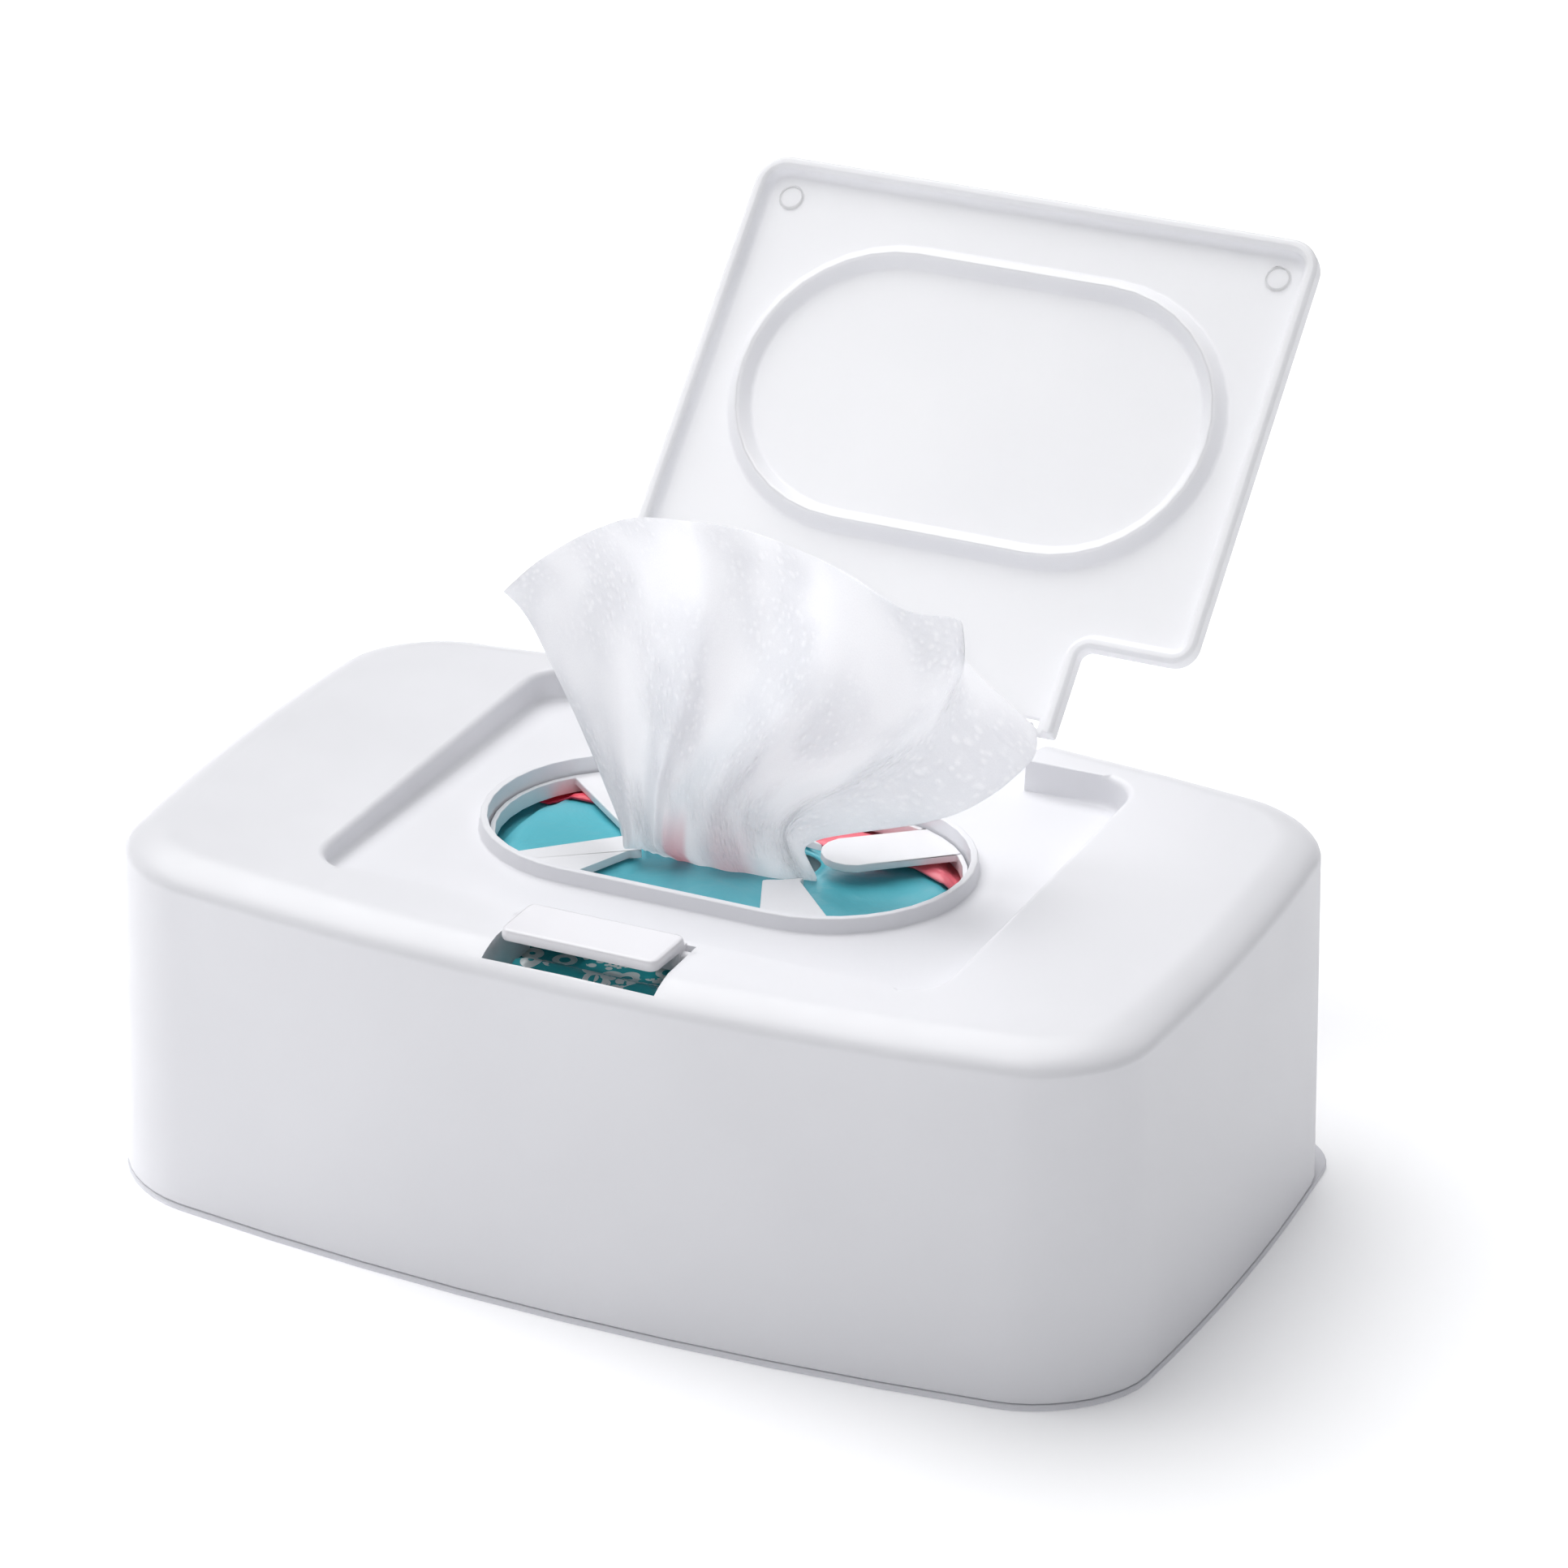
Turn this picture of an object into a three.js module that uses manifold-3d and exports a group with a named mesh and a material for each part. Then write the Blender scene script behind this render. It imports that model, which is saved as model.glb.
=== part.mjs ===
// Portable wipes dispenser: a white polypropylene case with a hinged lid on a refill pack of
// wipes. The lid stands open, and the next wipe fans out of the guide in the oval mouth.
// Millimetres. X runs along the case, +Y to the hinge side, +Z up. The origin is at the
// centre of the base plate's underside, which is the face that the dispenser stands on.

import * as THREE from 'three';
import { mergeVertices } from 'three/addons/utils/BufferGeometryUtils.js';
import Module from 'manifold-3d';

const wasm = await Module();
wasm.setup();

// Case outline and walls
const caseHalfLength = 112;
const caseHalfDepth = 70.5;
const caseCornerRadius = 21.2;
const longSideBow = 9.6;
const shortSideBow = 3.5;
const caseTopHeight = 75.2;
const topRise = 3.2;
const wall = 1.8;
const wallDraft = 1.5;
const topRoundWidth = 8.4;
const topRoundHeight = 5;
const topRoundSweep = 66;

// Base plate under the case
const baseThickness = 1.4;
const baseGap = 0.3;
const baseLip = 0.2;
const baseRearCornerRadius = 11;
const skirtHeight = 8;
const skirtWall = 1.6;
const skirtClearance = 1;
const clipWidth = 18;
const clipHeight = 13;
const clipNose = 0.35;
const clipNoseHeight = 2;
const padRibWidth = 1.6;
const padRibHeight = 1;
const padRibPitch = 22;
const padRibInset = 34;

// Recess in the top that the lid closes into
const recessDepth = 5.4;
const recessEndRim = 46;
const recessFrontRim = 24.1;
const recessRearRim = 17.5;
const recessCornerRadius = 8;
const recessDraft = 0.9;
const channelInset = 24.6;

// Oval collar round the mouth
const mouthEndSpace = 16.3;
const mouthSideSpace = 22;
const mouthForward = 0.9;
const collarHeight = 3.2;
const collarWall = 1.5;
const collarDraft = 0.5;

// Lid and its hinge
const lidOpenAngle = 134.5;
const hingeOverhang = 0.1;
const lidEndGap = 1.8;
const lidFrontGap = 0.7;
const lidRearGap = 2.2;
const lidCornerRadius = 7;
const lidRearCornerRadius = 5;
const lidPlate = 1.6;
const lidRimGap = 2;
const lidRimWall = 2.6;
const lidEdgeRound = 0.9;
const lidInsideRound = 1.4;
const lidStand = 1.2;
const sealRibSpace = 1.5;
const sealRibCrest = 0.8;
const sealRibFlank = 2.2;
const sealRibHeight = 2.6;
const tabInset = 24;
const tabCornerRadius = 2.4;
const stopPadRadius = 2.6;
const stopPadHeight = 0.25;
const stopPadInset = 8.5;
const knuckleRadius = 2.3;
const knuckleInner = 18.6;
const knuckleOuter = 29.4;
const earGap = 0.6;
const earWidth = 5;
const pinRadius = 1.2;
const pinClearance = 0.2;

// Push button in the front rim
const notchHalfWidth = 18.2;
const notchInset = 4.3;
const notchRearWall = 1.9;
const notchRibDepth = 4.6;
const buttonSideGap = 1.6;
const buttonFrontGap = 3.8;
const buttonRearGap = 0.8;
const buttonStand = 1.4;
const buttonSkin = 1.6;
const buttonSkirt = 2.4;
const buttonCornerRadius = 2;
const trunnionDrop = 3.8;
const trunnionRadius = 1.1;
const trunnionLength = 2.6;
const armHalfWidth = 6;
const armClearance = 1;
const armThickness = 1.2;
const armReach = 4.6;
const armRimGap = 0.9;
const tongueHalfWidth = 3;
const tongueX = 11.5;
const tongueThickness = 0.7;
const tongueGap = 0.4;
const tongueLength = 6;

// Wipe guide in the mouth
const guideClearance = 0.4;
const guideThickness = 1.7;
const guideRimWall = 1.1;
const guideFlange = 4.6;
const guideFlangeThickness = 1.5;
const guideDrop = 0.2;
const fingerWidthShare = 0.238;
const fingerThickness = 1.7;
const fingerRaise = 2.4;
const stakeRadius = 1.4;
const stakeClearance = 0.3;
const stakeLength = 2.4;
const stakeInset = 2.4;

// Refill pack and wipes
const packEndSpace = 15;
const packSideSpace = 16.5;
const packBottomGap = 0.5;
const packTopSpace = 3.4;
const packEdgeRadius = 9;
const packCornerRadius = 16;
const packFilm = 0.8;
const sealLength = 7;
const sealThickness = 1;
const sealInset = 7;
const packMouthHalfLength = 18;
const packMouthHalfWidth = 6.2;
const packMouthRear = 3.6;
const stackClearance = 0.5;
const foldPitch = 4.2;
const foldGroove = 0.8;
const labelHalfLength = 50;
const labelHalfWidth = 9;
const labelCornerRadius = 5;
const labelThickness = 0.4;
const labelGap = 0.3;
const labelX = -3;
const labelRear = 27.2;
const labelTurn = -2.4;
const labelTabHalfLength = 9;
const labelTabHalfWidth = 7;
const labelTabX = 41;
const labelTabRear = 21.4;
const labelTabTurn = -27;

// Top wipe that fans out of the mouth
const wipeThickness = 0.9;
const wipeWaistShare = 0.292;
const wipeRootShare = 0.242;
const wipeWaistDrop = 0.8;
const wipeRootDrop = 0.9;
const wipeRootRear = 3;
const wipeShift = -3.5;
const wipeSpreadLeft = 48;
const wipeSpreadRight = 67;
const wipeRise = 70.6;
const wipeFoldDepth = 5.5;
const wipeWaistFoldShare = 0.094;
const wipeFolds = 4.5;
const wipeLean = 4;

// How finely round stretches are drawn, and the overrun of every cut
const cornerSteps = 9;
const packCornerSteps = 5;
const sideSteps = 8;
const filletSteps = 6;
const roundSteps = 16;
const ovalSteps = 18;
const overrun = 2;

const topSlope = topRise / (2 * caseHalfDepth);
const caseBottom = baseThickness + baseGap;
const deckHeight = caseTopHeight - recessDepth;
const deckUnderside = deckHeight - wall;
const recessHalfLength = caseHalfLength - recessEndRim;
const recessFront = recessFrontRim - caseHalfDepth;
const recessRear = caseHalfDepth - recessRearRim;
const recessCentreY = (recessFront + recessRear) / 2;
const recessHalfDepth = (recessRear - recessFront) / 2;
const channelHalfWidth = recessHalfLength - channelInset;
const mouthHalfLength = recessHalfLength - mouthEndSpace;
const mouthHalfWidth = recessHalfDepth - mouthSideSpace;
const mouthCentreY = recessCentreY - mouthForward;
const collarTop = deckHeight + collarHeight;

const lidTopHeight = caseTopHeight + lidStand;
const lidHalfLength = recessHalfLength - lidEndGap;
const lidFront = recessFront + lidFrontGap;
const lidRear = recessRear - lidRearGap;
const lidPlateUnderside = lidTopHeight - lidPlate;
const lidRimBottom = deckHeight + lidRimGap;
const tabHalfWidth = lidHalfLength - tabInset;
const hingeY = caseHalfDepth + hingeOverhang;
const hingeZ = lidTopHeight - knuckleRadius;
const aboveAll = lidTopHeight + topRise + overrun;

const notchFront = notchInset - caseHalfDepth;
const notchRear = recessFront - notchRearWall;
const buttonHalfWidth = notchHalfWidth - buttonSideGap;
const buttonFront = notchFront + buttonFrontGap;
const buttonRear = notchRear - buttonRearGap;
const buttonTop = caseTopHeight + buttonStand;
const trunnionY = buttonRear - buttonSkin;
const trunnionZ = buttonTop - trunnionDrop;
const armTop = lidRimBottom - armRimGap;
const armBottom = armTop - armThickness;

const packHalfLength = caseHalfLength - packEndSpace;
const packHalfDepth = caseHalfDepth - packSideSpace;
const packBottom = baseThickness + padRibHeight + packBottomGap;
const packTop = deckUnderside - packTopSpace;
const packMouthY = mouthCentreY + packMouthRear;
const sealHalfDepth = packHalfDepth - sealInset;
const wipeWaistHeight = deckHeight - wipeWaistDrop;
const wipeRootHeight = packTop - wipeRootDrop;
const wipeWaistHalfWidth = wipeWaistShare * mouthHalfLength;
const wipeRootHalfWidth = wipeRootShare * mouthHalfLength;
const wipeWaistFoldDepth = wipeWaistFoldShare * mouthHalfWidth;

const whitePlastic = { color: 0xf1f1f5, roughness: 0.34, metalness: 0 };
const materials = {
  case: new THREE.MeshStandardMaterial({ ...whitePlastic }),
  base: new THREE.MeshStandardMaterial({ color: 0xe9e9ee, roughness: 0.4, metalness: 0 }),
  lid: new THREE.MeshStandardMaterial({ color: 0xeeeef3, roughness: 0.36, metalness: 0 }),
  button: new THREE.MeshStandardMaterial({ color: 0xf3f2f5, roughness: 0.32, metalness: 0 }),
  guide: new THREE.MeshStandardMaterial({ color: 0xf4f4f6, roughness: 0.3, metalness: 0 }),
  steel: new THREE.MeshStandardMaterial({ color: 0xb9bcc0, roughness: 0.3, metalness: 1 }),
  film: new THREE.MeshStandardMaterial({ color: 0x2aa3b1, roughness: 0.28, metalness: 0 }),
  label: new THREE.MeshStandardMaterial({ color: 0xe23a57, roughness: 0.35, metalness: 0 }),
  wipe: new THREE.MeshStandardMaterial({ color: 0xf0f0f3, roughness: 0.85, metalness: 0 }),
};

// Height of the sloping top face over a place in Y
function topZ(y) {
  return caseTopHeight + topSlope * y;
}

// Closed solid from a three.js geometry
function solid(geometry) {
  const bare = geometry.index ? geometry.toNonIndexed() : geometry.clone();
  bare.deleteAttribute('normal');
  bare.deleteAttribute('uv');
  const merged = mergeVertices(bare, wall / 1e5);
  const vertProperties = new Float32Array(merged.attributes.position.array);
  const triVerts = new Uint32Array(merged.index.array);
  return new wasm.Manifold(new wasm.Mesh({ numProp: 3, vertProperties, triVerts }));
}

// three.js geometry from a closed solid
function toGeometry(body) {
  const mesh = body.getMesh();
  const geometry = new THREE.BufferGeometry();
  geometry.setAttribute('position', new THREE.BufferAttribute(mesh.vertProperties, 3));
  geometry.setIndex(new THREE.BufferAttribute(mesh.triVerts, 1));
  geometry.computeVertexNormals();
  return geometry;
}

// Closed loft through rings of equally many points, counter-clockwise seen from the last ring
function loft(rings) {
  const count = rings[0].length;
  const positions = [];
  const indices = [];
  for (const ring of rings) {
    for (const point of ring) positions.push(point.x, point.y, point.z);
  }
  for (let level = 0; level + 1 < rings.length; level += 1) {
    for (let i = 0; i < count; i += 1) {
      const a = level * count + i;
      const b = level * count + ((i + 1) % count);
      indices.push(a, b, b + count, a, b + count, a + count);
    }
  }
  for (const [ring, start, flip] of [
    [rings[0], 0, true],
    [rings[rings.length - 1], (rings.length - 1) * count, false],
  ]) {
    const centre = new THREE.Vector3();
    for (const point of ring) centre.addScaledVector(point, 1 / count);
    const hub = positions.length / 3;
    positions.push(centre.x, centre.y, centre.z);
    for (let i = 0; i < count; i += 1) {
      const a = start + i;
      const b = start + ((i + 1) % count);
      indices.push(...(flip ? [b, a, hub] : [a, b, hub]));
    }
  }
  const geometry = new THREE.BufferGeometry();
  geometry.setAttribute('position', new THREE.Float32BufferAttribute(positions, 3));
  geometry.setIndex(indices);
  return geometry;
}

// Rounded rectangle whose sides may bow out, drawn counter-clockwise from the +X side
function roundedOutline({
  halfX, halfY, radius, rearRadius = radius, bowX = 0, bowY = 0, corner = cornerSteps,
}) {
  const along = bowX || bowY ? sideSteps : 1;
  const corners = [
    [1, 1, rearRadius, 0],
    [-1, 1, rearRadius, 1],
    [-1, -1, radius, 2],
    [1, -1, radius, 3],
  ];
  const plain = [];
  corners.forEach(([signX, signY, r, quarter], index) => {
    for (let i = 0; i <= corner; i += 1) {
      const angle = (quarter + i / corner) * (Math.PI / 2);
      plain.push([
        signX * (halfX - r) + r * Math.cos(angle),
        signY * (halfY - r) + r * Math.sin(angle),
      ]);
    }
    const [lastX, lastY] = plain[plain.length - 1];
    const [nextSignX, nextSignY, nextR, nextQuarter] = corners[(index + 1) % 4];
    const nextAngle = nextQuarter * (Math.PI / 2);
    const nextX = nextSignX * (halfX - nextR) + nextR * Math.cos(nextAngle);
    const nextY = nextSignY * (halfY - nextR) + nextR * Math.sin(nextAngle);
    for (let i = 1; i < along; i += 1) {
      const share = i / along;
      plain.push([lastX + (nextX - lastX) * share, lastY + (nextY - lastY) * share]);
    }
  });
  return plain.map(([x, y]) => new THREE.Vector2(
    x - Math.sign(x) * bowX * (y / halfY) ** 2 * Math.abs(x / halfX),
    y - Math.sign(y) * bowY * (x / halfX) ** 2 * Math.abs(y / halfY),
  ));
}

function caseOutline(inset, rearRadius = caseCornerRadius) {
  return roundedOutline({
    halfX: caseHalfLength - inset,
    halfY: caseHalfDepth - inset,
    radius: caseCornerRadius - Math.min(inset, topRoundWidth),
    rearRadius: rearRadius - Math.min(inset, topRoundWidth),
    bowX: shortSideBow,
    bowY: longSideBow,
  });
}

function ringAt(outline, z, centreX = 0, centreY = 0) {
  return outline.map((p) => new THREE.Vector3(p.x + centreX, p.y + centreY, z));
}

// Upright prism over an outline
function prism(outline, low, high, centreX = 0, centreY = 0) {
  return solid(loft([
    ringAt(outline, low, centreX, centreY),
    ringAt(outline, high, centreX, centreY),
  ]));
}

function box(x0, x1, y0, y1, z0, z1) {
  const geometry = new THREE.BoxGeometry(x1 - x0, y1 - y0, z1 - z0);
  geometry.translate((x0 + x1) / 2, (y0 + y1) / 2, (z0 + z1) / 2);
  return solid(geometry);
}

// Round bar along X
function barX(radius, x0, x1, y, z) {
  const geometry = new THREE.CylinderGeometry(radius, radius, x1 - x0, roundSteps);
  geometry.rotateZ(Math.PI / 2);
  geometry.translate((x0 + x1) / 2, y, z);
  return solid(geometry);
}

// Round post along Z
function postZ(radius, x, y, z0, z1) {
  const geometry = new THREE.CylinderGeometry(radius, radius, z1 - z0, roundSteps);
  geometry.rotateX(Math.PI / 2);
  geometry.translate(x, y, (z0 + z1) / 2);
  return solid(geometry);
}

// Oval with straight long sides and round ends
function oval(halfLength, halfWidth) {
  const points = [];
  for (const side of [1, -1]) {
    for (let i = 0; i <= ovalSteps; i += 1) {
      const angle = (i / ovalSteps - 0.5) * Math.PI + (side < 0 ? Math.PI : 0);
      points.push(new THREE.Vector2(
        side * (halfLength - halfWidth) + halfWidth * Math.cos(angle),
        halfWidth * Math.sin(angle),
      ));
    }
  }
  return points;
}

// Flat polygon given as shares of two half sizes, made into an upright prism
function shareOutline(shares, halfX, halfY) {
  return shares.map(([x, y]) => new THREE.Vector2(x * halfX, y * halfY));
}

function extruded(outline, low, high) {
  const shape = new THREE.Shape(outline);
  const geometry = new THREE.ExtrudeGeometry(shape, { depth: high - low, bevelEnabled: false });
  geometry.translate(0, 0, low);
  return solid(geometry);
}

function union(parts) {
  return parts.reduce((whole, part) => whole.add(part));
}

// Both long halves of something that is alike on the left and on the right
function mirroredX(build) {
  return build(1).add(build(-1));
}

function spanX(side, near, far) {
  return side > 0 ? [near, far] : [-far, -near];
}

// Skin of the case: straight drafted walls, rounded over into the sloping top
function caseSkin(inset, bottom) {
  const width = topRoundWidth - inset;
  const height = topRoundHeight - inset;
  const sweep = THREE.MathUtils.degToRad(topRoundSweep);
  const rings = [ringAt(caseOutline(inset), bottom)];
  for (let i = 0; i <= filletSteps; i += 1) {
    const angle = (i / filletSteps) * sweep;
    const inward = (1 - Math.cos(angle)) / (1 - Math.cos(sweep));
    const outline = caseOutline(inset + wallDraft + width * inward);
    rings.push(outline.map((p) => new THREE.Vector3(
      p.x,
      p.y,
      topZ(p.y) - inset - height * (1 - Math.sin(angle) / Math.sin(sweep)),
    )));
  }
  return solid(loft(rings));
}

function recessBlock(grow, bottom) {
  const at = (extra) => roundedOutline({
    halfX: recessHalfLength + extra,
    halfY: recessHalfDepth + extra,
    radius: recessCornerRadius + extra,
  });
  return solid(loft([
    ringAt(at(grow), bottom, 0, recessCentreY),
    ringAt(at(grow + recessDraft), aboveAll, 0, recessCentreY),
  ]));
}

function channelBlock(grow, bottom) {
  const halfWidth = channelHalfWidth + grow;
  const rear = caseHalfDepth + overrun;
  return box(-halfWidth, halfWidth, recessRear - recessCornerRadius, rear, bottom, aboveAll);
}

// Ear that carries the hinge pin: a foot on the channel floor that leans out to the pin's axis
function hingeEar(side) {
  const profile = new THREE.Shape();
  const foot = hingeY - 3 * knuckleRadius;
  profile.moveTo(foot, deckUnderside);
  profile.lineTo(caseHalfDepth - wallDraft - wall / 2, deckUnderside);
  profile.lineTo(hingeY + knuckleRadius, hingeZ - knuckleRadius / 2);
  profile.absarc(hingeY, hingeZ, knuckleRadius, 0, Math.PI, false);
  profile.lineTo(foot, deckHeight);
  const ear = (near) => {
    const geometry = new THREE.ExtrudeGeometry(profile, {
      depth: earWidth,
      bevelEnabled: false,
      curveSegments: roundSteps / 2,
    });
    geometry.rotateX(Math.PI / 2);
    geometry.rotateZ(Math.PI / 2);
    geometry.translate(side > 0 ? near : -near - earWidth, 0, 0);
    return solid(geometry);
  };
  return ear(knuckleOuter + earGap).add(ear(knuckleInner - earGap - earWidth));
}

// Posts under the deck on which the wipe guide is staked
function stakePlaces() {
  const reachX = mouthHalfLength + guideFlange - stakeInset;
  const reachY = mouthHalfWidth + guideFlange - stakeInset;
  return [[reachX, 0], [-reachX, 0], [0, reachY], [0, -reachY]]
    .map(([x, y]) => [x, y + mouthCentreY]);
}

function caseShell() {
  const slotHalf = armHalfWidth + armClearance;
  const notchRibs = mirroredX((side) => box(
    ...spanX(side, notchHalfWidth, notchHalfWidth + wall),
    notchFront - overrun,
    notchRear + overrun,
    deckHeight - notchRibDepth,
    aboveAll,
  ));
  const kept = union([
    recessBlock(wall, deckUnderside),
    channelBlock(wall, deckUnderside),
    notchRibs,
  ]);
  const notch = box(
    -notchHalfWidth,
    notchHalfWidth,
    notchFront,
    notchRear,
    deckUnderside - overrun,
    aboveAll,
  );
  const armSlot = box(
    -slotHalf,
    slotHalf,
    notchRear - overrun,
    buttonRear + armReach + armClearance,
    deckUnderside - overrun,
    armTop + armClearance,
  );
  const collar = solid(loft([
    ringAt(oval(mouthHalfLength + collarWall + collarDraft, mouthHalfWidth + collarWall + collarDraft),
      deckUnderside, 0, mouthCentreY),
    ringAt(oval(mouthHalfLength + collarWall, mouthHalfWidth + collarWall), collarTop, 0, mouthCentreY),
  ]));
  const mouth = solid(loft([
    ringAt(oval(mouthHalfLength, mouthHalfWidth), deckUnderside - overrun, 0, mouthCentreY),
    ringAt(oval(mouthHalfLength, mouthHalfWidth), aboveAll, 0, mouthCentreY),
  ]));
  const stakes = union(stakePlaces().map(([x, y]) => postZ(
    stakeRadius,
    x,
    y,
    deckUnderside - stakeLength,
    deckHeight - wall / 2,
  )));
  const pinReach = knuckleOuter + earGap + earWidth + overrun;
  const pinBore = barX(pinRadius + pinClearance, -pinReach, pinReach, hingeY, hingeZ);
  const trunnionReach = buttonHalfWidth + trunnionLength + pinClearance;
  const trunnionBore = barX(
    trunnionRadius + pinClearance,
    -trunnionReach,
    trunnionReach,
    trunnionY,
    trunnionZ,
  );
  const cavity = caseSkin(wall, caseBottom - overrun).subtract(kept);
  return caseSkin(0, caseBottom)
    .subtract(cavity)
    .subtract(recessBlock(0, deckHeight))
    .subtract(channelBlock(0, deckHeight))
    .subtract(notch)
    .subtract(armSlot)
    .add(collar)
    .add(stakes)
    .add(mirroredX(hingeEar))
    .subtract(mouth)
    .subtract(pinBore)
    .subtract(trunnionBore);
}

// Base plate with its skirt, clip tongues and the low ribs that the pack lies on
function basePlate() {
  const rim = caseOutline(-baseLip, baseRearCornerRadius);
  const skirtInset = wall + skirtClearance;
  const skirtTop = baseThickness + skirtHeight;
  const plate = prism(rim, 0, baseThickness);
  const skirt = prism(caseOutline(skirtInset), baseThickness / 2, skirtTop)
    .subtract(prism(caseOutline(skirtInset + skirtWall), baseThickness / 2, skirtTop + overrun));
  const clipTop = baseThickness + clipHeight;
  const clipPlaces = [
    [0, caseHalfDepth - skirtInset],
    [0, -caseHalfDepth + skirtInset],
  ];
  const tongueRing = prism(caseOutline(skirtInset), baseThickness / 2, clipTop)
    .subtract(prism(caseOutline(skirtInset + skirtWall), baseThickness / 2, clipTop + overrun));
  const noseRing = prism(caseOutline(skirtInset - clipNose), clipTop - clipNoseHeight, clipTop)
    .subtract(prism(caseOutline(skirtInset + skirtWall), baseThickness, clipTop + overrun));
  const tongues = union(clipPlaces.map(([x, y]) => {
    const reach = 3 * skirtWall;
    return tongueRing.add(noseRing)
      .intersect(box(x - clipWidth, x + clipWidth, y - reach, y + reach, 0, aboveAll));
  }));
  const padRibs = [];
  const ribReach = caseHalfLength - padRibInset;
  for (const row of [-2, -1, 0, 1, 2]) {
    const y = row * padRibPitch;
    padRibs.push(box(
      -ribReach,
      ribReach,
      y - padRibWidth / 2,
      y + padRibWidth / 2,
      baseThickness / 2,
      baseThickness + padRibHeight,
    ));
  }
  return union([plate, skirt, tongues, ...padRibs]);
}

// Outline of the closed lid with its tab, counter-clockwise, drawn in by an inset
function lidOutline(inset, tabEnd) {
  const points = [];
  const arc = (x, y, radius, from, to) => {
    for (let i = 0; i <= cornerSteps; i += 1) {
      const angle = THREE.MathUtils.degToRad(from + ((to - from) * i) / cornerSteps);
      points.push([x + radius * Math.cos(angle), y + radius * Math.sin(angle)]);
    }
  };
  const outer = lidCornerRadius;
  const rearOuter = lidRearCornerRadius;
  arc(lidHalfLength - rearOuter, lidRear - rearOuter, rearOuter - inset, 0, 90);
  arc(tabHalfWidth + tabCornerRadius, lidRear + tabCornerRadius, tabCornerRadius + inset, -90, -180);
  points.push([tabHalfWidth - inset, tabEnd]);
  const rear = [...points, ...points.map(([x, y]) => [-x, y]).reverse()];
  points.length = 0;
  arc(outer - lidHalfLength, lidFront + outer, outer - inset, 180, 270);
  arc(lidHalfLength - outer, lidFront + outer, outer - inset, 270, 360);
  return [...rear, ...points].map(([x, y]) => new THREE.Vector2(x, y));
}

// Lid, drawn closed: plate with a rim that runs on along the tab, the oval ridge that closes
// round the collar, and the hinge knuckles
function lidBody() {
  const loftOf = (tabEnd, levels) => solid(loft(
    levels.map(([inset, z]) => ringAt(lidOutline(inset, tabEnd), z)),
  ));
  const edge = lidEdgeRound;
  const shell = loftOf(hingeY, [
    [edge, lidRimBottom],
    [edge / 3, lidRimBottom + edge / 3],
    [0, lidRimBottom + edge],
    [0, lidTopHeight - edge],
    [edge / 3, lidTopHeight - edge / 3],
    [edge, lidTopHeight],
  ]);
  const round = lidInsideRound;
  const tray = loftOf(hingeY + overrun, [
    [lidRimWall - edge, lidRimBottom - overrun],
    [lidRimWall - edge, lidRimBottom],
    [lidRimWall - edge / 3, lidRimBottom + edge / 3],
    [lidRimWall, lidRimBottom + edge],
    [lidRimWall, lidPlateUnderside - round],
    [lidRimWall + round / 3, lidPlateUnderside - round / 3],
    [lidRimWall + round, lidPlateUnderside],
  ]);
  const ribCentre = collarWall + sealRibSpace;
  const ribOval = (grow) => oval(mouthHalfLength + grow, mouthHalfWidth + grow);
  const ribBottom = lidPlateUnderside - sealRibHeight;
  const ribSolid = (side) => [
    ringAt(ribOval(ribCentre + (side * sealRibCrest) / 2), ribBottom, 0, mouthCentreY),
    ringAt(
      ribOval(ribCentre + side * (sealRibCrest / 2 + sealRibFlank)),
      lidPlateUnderside,
      0,
      mouthCentreY,
    ),
  ];
  const ribTop = ribSolid(1)[1].map((p) => p.clone().setZ(lidPlateUnderside + lidPlate / 2));
  const ribStart = ribSolid(-1)[0].map((p) => p.clone().setZ(ribBottom - overrun));
  const sealRib = solid(loft([...ribSolid(1), ribTop]))
    .subtract(solid(loft([ribStart, ...ribSolid(-1)])));
  const knuckles = mirroredX((side) => barX(
    knuckleRadius,
    ...spanX(side, knuckleInner, knuckleOuter),
    hingeY,
    hingeZ,
  ));
  const pads = mirroredX((side) => postZ(
    stopPadRadius,
    side * (lidHalfLength - stopPadInset),
    lidFront + stopPadInset,
    lidPlateUnderside - stopPadHeight,
    lidPlateUnderside + lidPlate / 2,
  ));
  const earSlots = mirroredX((side) => {
    const slot = (near) => box(
      ...spanX(side, near - earGap, near + earWidth + earGap),
      hingeY - knuckleRadius - 2 * earGap,
      hingeY + knuckleRadius + overrun,
      hingeZ - overrun,
      aboveAll,
    );
    return slot(knuckleOuter + earGap).add(slot(knuckleInner - earGap - earWidth));
  });
  const pinReach = knuckleOuter + overrun;
  return shell
    .subtract(tray)
    .add(sealRib)
    .subtract(earSlots)
    .add(knuckles)
    .add(pads)
    .subtract(barX(pinRadius + pinClearance, -pinReach, pinReach, hingeY, hingeZ));
}

function hingePin() {
  const reach = knuckleOuter + earGap + earWidth;
  return barX(pinRadius, -reach, reach, hingeY, hingeZ);
}

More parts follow.
